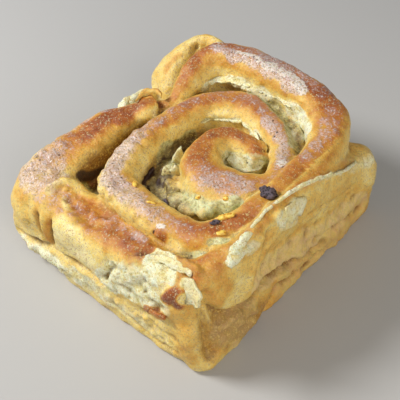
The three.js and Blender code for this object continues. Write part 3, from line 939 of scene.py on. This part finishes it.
SHADE_STROKES = (
    # painted shade: the gap beside the left strand, the valleys, the creases and the crevice of the torn side
    # are darkened
    Stroke(((-26, -22, 27), (-26, -12, 27), (-25.5, 0, 28.5), (-24.5, 7, 30)), 6, 0.9, 0.7, 0.6),
    Stroke(((-24, -22, 21), (-23, -10, 21), (-21.5, -2, 25), (-20, 5, 29)), 6, 1.0, 0.6),
    Stroke(((-6, -12, 29), (-8, -8, 29), (-8, 3, 29), (-7, 12, 29)), 5, 0.85, 0.8, 0.6, 0.4),
    Stroke(((-6, -9, 29), (-4, -13, 29), (0, -16, 29), (8, -20, 29.5)), 5, 0.85, 0.7, 0.8, 0.5),
    Stroke(((0, 32, 36), (8, 32, 36), (16, 29, 36.5), (22, 25, 36.5), (28, 19, 37)), 4.5, 0.4, 0.6, 0.8),
    Stroke(((-6, -13, 30), (2, -19, 30), (10, -20, 30), (20, -17, 31)), 2.6, 0.6, 0.7, 0.6, 0.5),
    Stroke(((10, 8, 36), (16, 9.4, 36.6), (20, 12, 37)), 1.6, 0.9, 0.6, 0.3),
    Stroke(((20.6, 9, 35.5), (20.2, 6, 33.5)), 0.8, 0.9, 0.6),
    Stroke(((14, 31, 37), (19, 29, 36.5), (24, 25, 36.5), (27, 22, 36)), 1.6, 0.8, 0.8, 0.6),
    Stroke(((-17, 24, 34), (-14, 31, 34), (-8, 35.5, 34), (2, 36, 34)), 3.2, 0.7, 0.7, 0.4),
    Stroke(((-25.6, -26, 22), (-22, -26, 21), (-18, -28, 24)), 3, 0.3, 0.6, 0.6),
    Stroke(((13, 3, 33), (17, 4, 33), (21, 6, 33)), 6.5, 0.12, 0.5, 0.4),
    Stroke(((-6, -8, 31), (0, -12.6, 31), (7, -17, 31), (14, -18.6, 31)), 4.6, 0.7, 0.7, 0.8, 0.9),
    Stroke(NOSE_CREASE, 3.4, 0.75, 0.8, 0.4),
    Stroke(((36, -41.6, 31), (36.4, -41.8, 35)), 1.6, 0.8, 0.6),
    Stroke(
        ((-29.8, 36.4, 41.6), (-29.2, 34, 40), (-28.8, 30.6, 38), (-28.4, 26.4, 35.5), (-28, 22, 33.5)),
        2.6, 0.9, 0.7, 0.3,
    ),
    Stroke(((-24, 12.6, 36), (-20, 9.5, 35), (-18.5, 6, 34)), 1.9, 0.7, 0.8, 0.3),
    Stroke(((43, -38, 14), (43.6, -30, 10), (43.6, -22, 6)), 10, 0.5, 0.7, 1.0, 0.6),
    Stroke(CREVICE, 2.4, 0.8, 0.8, 0.4),
    Stroke(CREVICE_END, 2.4, 0.8, 0.8, 0.4),
)
SCORCH_AND_SHADE_STROKES = (
    # dark specks of sugar, and painted shade that darkens the deepest parts of the heart's valley and of the
    # gap
    Stroke(((-29, -33.5, 30.5),), 1.3, 0.7, 0.8, 0.5),
    Stroke(((-5.7, -46.5, 14.2),), 1.3, 0.9, 0.8, 0.4),
    Stroke(((16.5, -34, 36),), 0.9, 0.9, 0.8, 0.4),
    Stroke(((2, -46.8, 1.5), (6, -46.8, 1)), 2.6, 0.5, 0.9, 0.6),
    Stroke(((36, -46, 14),), 1.2, 0.6, 0.8, 0.6),
    Stroke(((2, -12.5, 31), (-1, -14.5, 31), (-6, -10, 31)), 2.0, 0.75, 0.7, 1.2),
    Stroke(((6, -17, 30), (0, -13, 30), (-5, -6, 30), (-7.5, 2, 30)), 4.4, 0.5, 0.6, 1.0, 2.0),
    Stroke(
        ((-8.4, -5, 29), (-8, -11, 29), (-5.4, -15.6, 29), (-1, -19, 29.4), (6, -21, 29.8)),
        2.3, 0.85, 0.7, 0.9, 0.8,
    ),
    Stroke(((-25.5, -41, 30.5),), 0.8, 0.5, 0.8, 0.3),
    Stroke(((-2, -4, 31.5), (-1, -6.5, 31.5)), 0.9, 0.6, 0.8, 0.4),
    Stroke(((6, -40, 33), (9, -36, 33)), 2.4, 0.34, 0.8, 0.6, 2.0),
    Stroke(((9, -45, 26), (12, -44, 29)), 1.2, 0.5, 0.8, 0.6),
    Stroke(((43, -1, 39.5),), 0.7, 0.6, 0.8, 0.3),
    Stroke(((-26, -25, 27), (-24.6, -21, 24), (-24, -12, 22.6), (-22, -4, 24)), 4.2, 0.9, 0.95, 0.6),
)
COATINGS = {
    Coat.BROWNING: BROWNING_STROKES,
    Coat.GLAZE: GLAZE_STROKES,
    Coat.ICING: ICING_STROKES,
    Coat.CRUMB: CRUMB_STROKES,
    Coat.FILLING: FILLING_STROKES,
    Coat.SHADE: SHADE_STROKES,
    Coat.SCORCH_AND_SHADE: SCORCH_AND_SHADE_STROKES,
}


# ---- The roll -------------------------------------------------------------------------------------


@dataclass(frozen=True)
class Bumps:
    """How high and how large bumps of the relief are, in millimetres."""

    height: float
    size: float


class Roll:
    """The baked roll: one skin over the block, the coil, the fold of skin and the torn lobes."""

    VOXEL = 0.67
    SOFTENING = 5
    FLAT = 1e-4  # what lies lower than this is the underside

    # where browning and glaze lie on the coil; each pair gives where it is nil and where it is full
    CREST_PULL = 0.5  # how much a difference in height counts in finding the nearest crest
    FACING_UP = (-0.1, 0.7)
    BROWN_DEPTHS = (8.5, 1.5)  # below the crest, in millimetres
    GLAZE_DEPTHS = (6.5, 0.5)
    BROWN_REACH = (1.15, 0.25)  # across the strand, in shares of its half width
    GLAZE_REACH = (1.1, 0.3)
    BROWN_LEAN = 0.05  # how far the coat lies towards the strand's right
    GLAZE_LEAN = 0.25
    PALE_CRUST = 0.2  # the browning away from the crests
    PATCH_SIZE = 3.2
    CLOUD_SIZE = 14

    SWELLING = Bumps(0.7, 16)
    LUMPS = Bumps(0.5, 6.5)
    CRUMBS = Bumps(0.85, 4.2)
    PITS = Bumps(0.6, 3.1)
    GRAINS = Bumps(0.45, 2.8)
    ICING_THICKNESS = 0.35

    # how far hollows are shaded; depths in millimetres below the smoothed skin
    SHADE_ROUNDS = 26
    SHADE_DEPTHS = (0.08, 1.15)
    DEEPEST_SHADE = 0.85

    def __init__(self, grain: Grain) -> None:
        """Sets the roll up.

        Args:
            grain: The noise that its relief and ragged edges follow.
        """
        self.grain = grain

    def joined(self) -> bpy.types.Mesh:
        """Models the dough's parts and joins them into one skin.

        Returns:
            The joined mesh, in millimetres.
        """
        dough = bmesh.new()
        for part in (BLOCK, COIL, FOLD, SHEET, CURL, *LOBES):
            part.build(dough)
        bmesh.ops.recalc_face_normals(dough, faces=dough.faces)
        rough = bpy.data.meshes.new("rough_dough")
        dough.to_mesh(rough)
        dough.free()
        holder = bpy.data.objects.new("rough_dough", rough)
        bpy.context.scene.collection.objects.link(holder)
        remesh = holder.modifiers.new("skin", "REMESH")
        remesh.mode = "VOXEL"
        remesh.voxel_size = self.VOXEL
        ready = holder.evaluated_get(bpy.context.evaluated_depsgraph_get())
        skin = bpy.data.meshes.new_from_object(ready)
        bpy.data.objects.remove(holder)
        bpy.data.meshes.remove(rough)
        return skin

    def coat_from_coil(self, skin: Skin) -> None:
        """Browns and glazes the crests by where they lie on the coil.

        Args:
            skin: The surface to coat.
        """
        samples = COIL.samples()
        sides = COIL.sides(samples)
        squash = np.array([1, 1, self.CREST_PULL])
        tree = KDTree(len(samples))
        for index, sample in enumerate(samples):
            tree.insert(sample[:3] * squash, index)
        tree.balance()
        nearest = np.array([tree.find(point)[1] for point in skin.points * squash])
        near = samples[nearest]
        gap = skin.points[:, :2] - near[:, :2]
        across = np.einsum("ij,ij->i", gap, sides[nearest])
        across /= np.where(across > 0, near[:, 3], near[:, 4])
        drop = near[:, 2] - skin.points[:, 2]
        patches = self.grain.smooth(skin.points, self.PATCH_SIZE, 2)
        upward = smoothstep(*self.FACING_UP, skin.normals[:, 2])
        brown = near[:, 5] * smoothstep(*self.BROWN_DEPTHS, drop + 1.6 * skin.wander) * upward
        brown *= smoothstep(*self.BROWN_REACH, np.abs(across + self.BROWN_LEAN) + 0.2 * skin.wander)
        glaze = near[:, 6] * smoothstep(*self.GLAZE_DEPTHS, drop + 1.5 * skin.wander) * upward
        glaze *= smoothstep(*self.GLAZE_REACH, np.abs(across + self.GLAZE_LEAN) + 0.2 * patches)
        base = self.PALE_CRUST + 0.07 * self.grain.smooth(skin.points, self.CLOUD_SIZE, 2)
        skin.coats[Coat.BROWNING] = base + brown * (1 - base)
        skin.coats[Coat.GLAZE] = glaze

    def coat(self, skin: Skin) -> None:
        """Lays every coat but the painted shade, which build() lays after the relief.

        Args:
            skin: The surface to coat.
        """
        self.coat_from_coil(skin)
        for coat in (Coat.BROWNING, Coat.GLAZE, Coat.ICING, Coat.CRUMB, Coat.FILLING, Coat.SCORCH_AND_SHADE):
            skin.brush(coat, COATINGS[coat])

    def relief(self, skin: Skin) -> None:
        """Gives the surface its swellings, its crumb and its grain.

        Args:
            skin: The surface to work.
        """
        points, coats = skin.points, skin.coats
        swellings = self.SWELLING.height * self.grain.smooth(points, self.SWELLING.size, 1)
        lumps = self.LUMPS.height * self.grain.smooth(points, self.LUMPS.size, 3)
        crumbs = self.CRUMBS.height * self.grain.smooth(points, self.CRUMBS.size, 4)
        pits = smoothstep(0.45, 0.1, self.grain.pores(points + skin.wander[:, None], self.PITS.size))
        grains = self.GRAINS.height * self.grain.smooth(points, self.GRAINS.size, 2)
        lift = swellings + lumps
        lift += coats[Coat.CRUMB] * (crumbs - self.PITS.height * pits)
        lift += coats[Coat.FILLING] * grains
        lift += self.ICING_THICKNESS * coats[Coat.ICING]
        skin.points += skin.normals * lift[:, None]
        skin.points[:, 2] = np.maximum(skin.points[:, 2], 0)
        skin.refresh()

    def add_rags(self, mesh: bpy.types.Mesh) -> None:
        """Joins the faces of the flat underside, which need no detail, and adds the ribbons of torn skin.

        Args:
            mesh: The roll's mesh, in millimetres.
        """
        dough = bmesh.new()
        dough.from_mesh(mesh)
        flat = [face for face in dough.faces if all(corner.co.z < self.FLAT for corner in face.verts)]
        bmesh.ops.dissolve_faces(dough, faces=flat, use_verts=False)
        bmesh.ops.triangulate(dough, faces=[face for face in dough.faces if len(face.verts) > 4])
        for rag in RAGS:
            rag.build(dough, self.grain)
        dough.to_mesh(mesh)
        dough.free()

    def build(self) -> bpy.types.Object:
        """Models, works and coats the roll.

        Returns:
            The finished object.
        """
        mesh = self.joined()
        mesh.name = "baked_roll"
        skin = Skin(mesh, self.grain)
        skin.relax(self.SOFTENING)
        skin.press(SHAPING)
        skin.relax(1)
        self.coat(skin)
        self.relief(skin)
        # painted shade: darkest where the skin lies deepest below its smoothed copy, then brushed along gaps
        # and creases
        hollows = skin.hollowness(self.SHADE_ROUNDS)
        skin.coats[Coat.SHADE] = self.DEEPEST_SHADE * smoothstep(*self.SHADE_DEPTHS, hollows)
        skin.brush(Coat.SHADE, COATINGS[Coat.SHADE])
        skin.finish()
        self.add_rags(mesh)
        mesh.transform(Matrix.Scale(MM, 4))
        mesh.polygons.foreach_set("use_smooth", np.ones(len(mesh.polygons), bool))
        roll = bpy.data.objects.new("baked_roll", mesh)
        bpy.context.scene.collection.objects.link(roll)
        return roll


# ---- Toppings -------------------------------------------------------------------------------------


class Bit(Enum):
    """What a bit on the crust is made of. The value is its name and how coarse it is."""

    DARK_CRUMB = ("dark_crumb", 0.4)
    ZEST = ("zest", 0.3)


@dataclass(frozen=True)
class Topping:
    """A bit stuck to the crust: a ragged lump, laid where its drop line meets the crust."""

    node: str
    bit: Bit
    at: tuple[float, float]
    size: tuple[float, float, float]
    turn: float
    sunk: float = 0.25  # how much of its thickness is pressed into the crust
    lump_size: float = 1.5  # of its own small lumps, in millimetres
    drop_height: float = 90

    def build(self, crust: BVHTree, grain: Grain) -> bpy.types.Object:
        """Models the bit and lays it on the crust.

        Args:
            crust: The roll's surface, in metres.
            grain: The noise that its lumps follow.

        Returns:
            The finished object.
        """
        lump = bmesh.new()
        bmesh.ops.create_icosphere(lump, subdivisions=4, radius=0.5)
        shape = np.array([corner.co for corner in lump.verts]) * self.size
        swell = 1 + self.bit.value[1] * grain.smooth(shape + 9 * self.turn, self.lump_size, 2)
        for corner, place in zip(lump.verts, shape * swell[:, None]):
            corner.co = place
        spot, normal, _, _ = crust.ray_cast(Vector((*self.at, self.drop_height)) * MM, -UP)
        lean = UP.rotation_difference(normal).to_matrix().to_4x4()
        rise = (0.5 - self.sunk) * self.size[2]
        lay = Matrix.Translation(spot + normal * rise * MM) @ lean
        turned = Matrix.Rotation(math.radians(self.turn), 4, "Z")
        bmesh.ops.transform(lump, matrix=lay @ turned @ Matrix.Scale(MM, 4), verts=lump.verts)
        mesh = bpy.data.meshes.new(self.node + "_bit")
        for face in lump.faces:
            face.smooth = True
        lump.to_mesh(mesh)
        lump.free()
        topping = bpy.data.objects.new(self.node + "_bit", mesh)
        bpy.context.scene.collection.objects.link(topping)
        return topping


TOPPINGS = (
    Topping("dark_crumb_large", Bit.DARK_CRUMB, (35.6, -5.5), (5.2, 4.8, 3), 20),
    Topping("dark_crumb_small", Bit.DARK_CRUMB, (30.3, -22.9), (3, 1.8, 1.2), 45),
    Topping("dark_crumb_valley", Bit.DARK_CRUMB, (8, -19.5), (2.4, 1.6, 1.4), -45),
    Topping("zest_shred_1", Bit.ZEST, (-0.8, -24), (3.4, 1.6, 1.1), -45),
    Topping("zest_shred_2", Bit.ZEST, (9.2, -27.2), (2.9, 1.3, 0.9), 40),
    Topping("zest_shred_3", Bit.ZEST, (31, -19.3), (5.4, 2.2, 1.5), 50),
    Topping("zest_shred_4", Bit.ZEST, (33.7, -24.4), (2.8, 1.6, 1), 60),
    Topping("zest_shred_5", Bit.ZEST, (25.3, -12.2), (1.9, 1.5, 0.9), 10),
    Topping("zest_shred_6", Bit.ZEST, (17.2, -15.5), (2.2, 1.1, 0.9), 30),
)


# ---- Finishes -------------------------------------------------------------------------------------


class Value:
    """A shader socket that can be used in sums."""

    def __init__(self, graph: "Graph", socket: bpy.types.NodeSocket) -> None:
        """Wraps a socket of a graph."""
        self.graph = graph
        self.socket = socket

    def _sum(self, operation: str, first: "Value | float", second: "Value | float") -> "Value":
        """Adds a Math node."""
        return self.graph.node("ShaderNodeMath", {"operation": operation}, {0: first, 1: second})

    def __add__(self, other: "Value | float") -> "Value":
        """Adds."""
        return self._sum("ADD", self, other)

    def __radd__(self, other: float) -> "Value":
        """Adds to a number."""
        return self._sum("ADD", other, self)

    def __sub__(self, other: "Value | float") -> "Value":
        """Subtracts."""
        return self._sum("SUBTRACT", self, other)

    def __rsub__(self, other: float) -> "Value":
        """Subtracts from a number."""
        return self._sum("SUBTRACT", other, self)

    def __mul__(self, other: "Value | float") -> "Value":
        """Multiplies."""
        return self._sum("MULTIPLY", self, other)

    def __rmul__(self, other: float) -> "Value":
        """Multiplies a number."""
        return self._sum("MULTIPLY", other, self)


class Graph:
    """A material's node tree."""

    def __init__(self, name: str) -> None:
        """Makes an empty material.

        Args:
            name: The material's name.
        """
        self.material = bpy.data.materials.new(name)
        self.material.use_nodes = True
        self.tree = self.material.node_tree
        self.tree.nodes.clear()

    def node(self, kind: str, settings: dict, inputs: dict, output: int | str = 0) -> Value:
        """Adds a node.

        Args:
            kind: The node's type.
            settings: Its properties; stops holds a ramp's places and colours.
            inputs: The values or links of its sockets, by name or number.
            output: The socket that is returned.

        Returns:
            The node's output.
        """
        node = self.tree.nodes.new(kind)
        for name, setting in settings.items():
            if name == "stops":
                self._set_stops(node.color_ramp, setting)
            else:
                setattr(node, name, setting)
        for name, value in inputs.items():
            if isinstance(value, Value):
                self.tree.links.new(value.socket, node.inputs[name])
            else:
                node.inputs[name].default_value = value
        return Value(self, node.outputs[output])

    @staticmethod
    def _set_stops(ramp: bpy.types.ColorRamp, stops: tuple) -> None:
        """Gives a ramp its stops."""
        while len(ramp.elements) < len(stops):
            ramp.elements.new(1.0)
        for element, (place, colour) in zip(ramp.elements, stops):
            element.position = place
            element.color = colour

    def attribute(self, coat: Coat) -> Value:
        """Reads a coat from the mesh."""
        return self.node("ShaderNodeAttribute", {"attribute_name": coat.value}, {}, "Fac")

    def ramp(self, value: Value, stops: tuple) -> Value:
        """Maps a value to colours."""
        return self.node("ShaderNodeValToRGB", {"stops": stops}, {"Fac": value}, "Color")

    def between(self, value: Value, low: float, high: float) -> Value:
        """Maps a value from low and high to 0 and 1, smoothly and kept in range."""
        settings = {"interpolation_type": "SMOOTHSTEP"}
        inputs = {"Value": value, "From Min": low, "From Max": high}
        return self.node("ShaderNodeMapRange", settings, inputs, "Result")

    def blend(
        self, share: Value | float, first: Value | tuple, second: Value | tuple, how: str = "MIX"
    ) -> Value:
        """Blends two colours."""
        settings = {"data_type": "RGBA", "blend_type": how, "clamp_factor": True}
        return self.node("ShaderNodeMix", settings, {"Factor": share, 6: first, 7: second}, 2)

    def noise(self, place: Value, size: float, detail: float = 2.0, roughness: float = 0.5) -> Value:
        """Adds noise whose bumps measure about a size in millimetres."""
        inputs = {"Vector": place, "Scale": 1 / (size * MM), "Detail": detail, "Roughness": roughness}
        return self.node("ShaderNodeTexNoise", {}, inputs, "Fac")

    def cells(self, place: Value, size: float) -> Value:
        """Adds the distance to the middle of cells of a size in millimetres."""
        inputs = {"Vector": place, "Scale": 1 / (size * MM)}
        return self.node("ShaderNodeTexVoronoi", {"feature": "F1"}, inputs, "Distance")

    def bump(self, height: Value, strength: float, reach: float) -> Value:
        """Makes bumps that stand about a height in millimetres from a value."""
        inputs = {"Strength": strength, "Distance": reach * MM, "Height": height}
        return self.node("ShaderNodeBump", {}, inputs, "Normal")

    def place(self) -> Value:
        """Reads where a point is on the object."""
        return self.node("ShaderNodeTexCoord", {}, {}, "Object")

    def surface(self, inputs: dict) -> bpy.types.Material:
        """Ends the graph in a principled shader.

        Args:
            inputs: The shader's sockets.

        Returns:
            The material.
        """
        shader = self.node("ShaderNodeBsdfPrincipled", {}, inputs, "BSDF")
        output = self.tree.nodes.new("ShaderNodeOutputMaterial")
        self.tree.links.new(shader.socket, output.inputs["Surface"])
        return self.material


@dataclass(frozen=True)
class BakedDough:
    """The roll's finish: crust from cream to deep brown, glaze, icing, torn crumb, filling, painted shade and
    highlights.
    """

    cream: tuple = srgb(250, 238, 182)
    straw: tuple = srgb(240, 214, 124)
    golden: tuple = srgb(228, 174, 68)
    orange: tuple = srgb(192, 110, 46)
    deep: tuple = srgb(136, 66, 30)
    glaze: tuple = srgb(214, 196, 190)
    # the white of the icing flakes, also used for the painted glints and sparkle highlights
    icing: tuple = srgb(232, 220, 206)
    crumb_light: tuple = srgb(250, 252, 222)
    crumb_dark: tuple = srgb(232, 216, 142)
    filling_light: tuple = srgb(228, 232, 182)
    filling_dark: tuple = srgb(172, 162, 102)
    # the tint of the painted shade in hollows, creases and gaps
    painted_shade_tint: tuple = srgb(142, 98, 26)
    dust: tuple = srgb(196, 160, 116)
    # the colour of scorched specks, and of the painted shade in the deepest gaps
    scorched_and_shade: tuple = srgb(56, 32, 20)
    # sizes in millimetres
    broad_size: float = 9.0
    mottle_size: float = 3.0
    fine_size: float = 0.7
    glint_size: float = 1.0
    crack_size: float = 3.4
    seed_size: float = 2.4
    bump_height: float = 0.7
    glow_depth: float = 1.6

    def build(self) -> bpy.types.Material:
        """Makes the material."""
        graph = Graph("baked_dough")
        place = graph.place()
        brown = graph.attribute(Coat.BROWNING)
        glazed = graph.attribute(Coat.GLAZE)
        iced = graph.attribute(Coat.ICING)
        torn = graph.attribute(Coat.CRUMB)
        filled = graph.attribute(Coat.FILLING)
        shade = graph.attribute(Coat.SHADE)
        burnt_and_shade = graph.attribute(Coat.SCORCH_AND_SHADE)

        broad = graph.noise(place, self.broad_size, 3.0, 0.6)
        mottle = graph.noise(place, self.mottle_size, 4.0, 0.62)
        fine = graph.noise(place, self.fine_size, 3.0, 0.75)
        toast = brown + (broad - 0.5) * 0.4 + (mottle - 0.5) * 0.6 + (fine - 0.5) * 2.0
        shades = (self.cream, self.straw, self.golden, self.orange, self.deep)
        crust = graph.ramp(toast, tuple(zip((0.0, 0.25, 0.5, 0.76, 1.0), shades)))
        grit = mottle + (fine - 0.5) * 0.8
        crumb = graph.blend(graph.between(grit, 0.3, 0.6), self.crumb_dark, self.crumb_light)
        crumb = graph.blend(graph.between(brown, 0.15, 0.55) * 0.9, crumb, crust)
        filling = graph.blend(graph.between(mottle, 0.35, 0.62), self.filling_dark, self.filling_light)
        film = graph.between(glazed + (mottle - 0.5) * 1.1 + (fine - 0.5) * 0.5, 0.3, 0.95)
        # painted highlights: glints in the glaze film, in the icing's white
        glints = graph.between(graph.cells(place, self.glint_size), 0.36, 0.16) * film
        colour = graph.blend(film * 0.72, crust, self.glaze)
        colour = graph.blend(glints * 0.8, colour, self.icing)
        colour = graph.blend(graph.between(filled + (fine - 0.5) * 0.4, 0.2, 0.8), colour, filling)
        colour = graph.blend(graph.between(torn + (grit - 0.5) * 0.7, 0.25, 0.8), colour, crumb)
        cracks = graph.between(graph.cells(place, self.crack_size), 0.62, 0.75)
        flakes = graph.between(iced + (fine - 0.5) * 0.6 - cracks * 0.5, 0.3, 0.6)
        colour = graph.blend(flakes, colour, self.icing)
        # painted shade: hollows, creases and gaps are darkened towards the shade tint
        painted_shade_factor = graph.blend(shade, (1, 1, 1, 1), self.painted_shade_tint)
        colour = graph.blend(1.0, colour, painted_shade_factor, "MULTIPLY")
        specks = graph.between(fine, 0.5, 0.38) * (0.85 - torn * 0.5 - filled * 0.35)
        colour = graph.blend(specks, colour, self.dust, "MULTIPLY")
        # painted highlights: fine light grains for the sparkle of sugar, straw on bare crust and icing white
        # where glazed or browned
        sugar_sparkle_highlight = graph.blend(graph.between(film + brown * 0.5, 0.3, 0.7), self.straw, self.icing)
        colour = graph.blend(graph.between(fine, 0.53, 0.64) * 0.65, colour, sugar_sparkle_highlight)
        seeds = graph.between(graph.cells(place, self.seed_size), 0.2, 0.12) * graph.between(broad, 0.5, 0.58)
        seeds = seeds * graph.between(film + filled, 0.2, 0.7)
        # dark specks and seeds, and painted shade in the deepest gaps, all in the scorched colour
        spots = graph.between(burnt_and_shade + (fine - 0.5) * 0.8, 0.25, 0.7) + seeds * 0.8
        colour = graph.blend(spots, colour, self.scorched_and_shade)

        rough = 0.42 - film * 0.22 + torn * 0.4
        height = fine * 0.4 + mottle * 0.8 + grit * torn * 0.5 + glints * 0.5
        bump = graph.bump(height, 1.0, self.bump_height)
        return graph.surface(
            {
                "Base Color": colour,
                "Roughness": rough,
                "Normal": bump,
                "Subsurface Weight": 0.15,
                "Subsurface Radius": (1.0, 0.6, 0.25),
                "Subsurface Scale": self.glow_depth * MM,
                "Specular IOR Level": 0.45,
            }
        )


@dataclass(frozen=True)
class BitFinish:
    """The finish of a bit on the crust: two colours that come and go in grains."""

    name: str
    light: tuple
    dark: tuple
    roughness: float
    grain: float  # the size of a grain, in millimetres
    bump_height: float = 0.3

    def build(self) -> bpy.types.Material:
        """Makes the material."""
        graph = Graph(self.name)
        place = graph.place()
        grains = graph.cells(place, self.grain)
        colour = graph.blend(graph.between(grains, 0.15, 0.7), self.dark, self.light)
        bump = graph.bump(grains, 0.8, self.bump_height)
        return graph.surface({"Base Color": colour, "Roughness": self.roughness, "Normal": bump})


BIT_FINISHES = {
    Bit.DARK_CRUMB: BitFinish("dark_crumb", srgb(96, 82, 90), srgb(20, 14, 18), 0.7, 0.7),
    Bit.ZEST: BitFinish("zest", srgb(250, 214, 96), srgb(206, 130, 20), 0.45, 0.9),
}


@dataclass(frozen=True)
class PaleFloor:
    """The plain pale floor."""

    colour: tuple = srgb(184, 182, 179)

    def build(self) -> bpy.types.Material:
        """Makes the material."""
        graph = Graph("pale_floor")
        return graph.surface({"Base Color": self.colour, "Roughness": 0.9})


# ---- The studio -----------------------------------------------------------------------------------


@dataclass(frozen=True)
class Studio:
    """The floor, the soft light and the camera."""

    camera_at: tuple = (139.3, -142.6, 208.3)
    looks_along: tuple = (-0.4926, 0.5158, -0.7009)
    camera_roll: float = -3.3
    lens: float = 74.52
    floor_size: float = 6.0  # in metres
    lit_point: tuple = (0, 0, 20)
    room: tuple = srgb(228, 230, 234)
    room_strength: float = 0.26

    def build(self) -> None:
        """Sets the studio up."""
        self._floor()
        self._camera()
        self._light("window", (-380, -250, 440), 200, 3.9, (0.985, 0.995, 1.0))
        self._light("fill", (430, -170, 300), 360, 1.4, (1.0, 0.96, 0.88))
        world = bpy.data.worlds.new("room")
        world.use_nodes = True
        world.node_tree.nodes["Background"].inputs["Color"].default_value = self.room
        world.node_tree.nodes["Background"].inputs["Strength"].default_value = self.room_strength
        scene = bpy.context.scene
        scene.world = world
        scene.view_settings.view_transform = "Standard"

    def _floor(self) -> None:
        """Lays the floor."""
        sheet = bmesh.new()
        bmesh.ops.create_grid(sheet, x_segments=1, y_segments=1, size=self.floor_size / 2)
        mesh = bpy.data.meshes.new("floor")
        sheet.to_mesh(mesh)
        sheet.free()
        mesh.materials.append(PaleFloor().build())
        floor = bpy.data.objects.new("floor", mesh)
        bpy.context.scene.collection.objects.link(floor)

    def _camera(self) -> None:
        """Sets the camera up."""
        lens = bpy.data.cameras.new("camera")
        lens.lens = self.lens
        lens.clip_start = 0.01
        camera = bpy.data.objects.new("camera", lens)
        camera.location = Vector(self.camera_at) * MM
        level = Vector(self.looks_along).to_track_quat("-Z", "Y")
        roll = Quaternion((0, 0, 1), math.radians(self.camera_roll))
        camera.rotation_mode = "QUATERNION"
        camera.rotation_quaternion = level @ roll
        bpy.context.scene.collection.objects.link(camera)
        bpy.context.scene.camera = camera

    def _light(self, name: str, spot: tuple, size: float, power: float, colour: tuple) -> None:
        """Hangs a soft light that shines on the roll.

        Args:
            name: The light's name.
            spot: Where it hangs, in millimetres.
            size: Its side, in millimetres.
            power: Its power, in watts.
            colour: Its colour.
        """
        lamp = bpy.data.lights.new(name, "AREA")
        lamp.shape = "DISK"
        lamp.size = size * MM
        lamp.energy = power
        lamp.color = colour
        light = bpy.data.objects.new(name, lamp)
        light.location = Vector(spot) * MM
        light.rotation_mode = "QUATERNION"
        towards = Vector(self.lit_point) * MM - light.location
        light.rotation_quaternion = towards.to_track_quat("-Z", "Y")
        bpy.context.scene.collection.objects.link(light)


# ---- Putting it together --------------------------------------------------------------------------


def hand_over(piece: bpy.types.Object, finish: bpy.types.Material, node: str) -> None:
    """Gives a piece its finish, hangs it on the roll's body and hides the construction node that it replaces.

    Args:
        piece: The finished object.
        finish: Its material.
        node: The construction node that it replaces.
    """
    piece.data.materials.append(finish)
    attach(piece, BODY)
    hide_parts(node)
    log.info("%s: %d triangles", piece.name, sum(len(face.vertices) - 2 for face in piece.data.polygons))


def main() -> None:
    """Builds the roll, its toppings and the studio."""
    logging.basicConfig(level=logging.INFO, format="%(name)s: %(message)s")
    Studio().build()
    grain = Grain(SEED)
    roll = Roll(grain).build()
    hand_over(roll, BakedDough().build(), "roll")
    crust = BVHTree.FromObject(roll, bpy.context.evaluated_depsgraph_get())
    finishes = {bit: finish.build() for bit, finish in BIT_FINISHES.items()}
    for topping in TOPPINGS:
        piece = topping.build(crust, grain)
        hand_over(piece, finishes[topping.bit], topping.node)


if __name__ == "__main__":
    main()
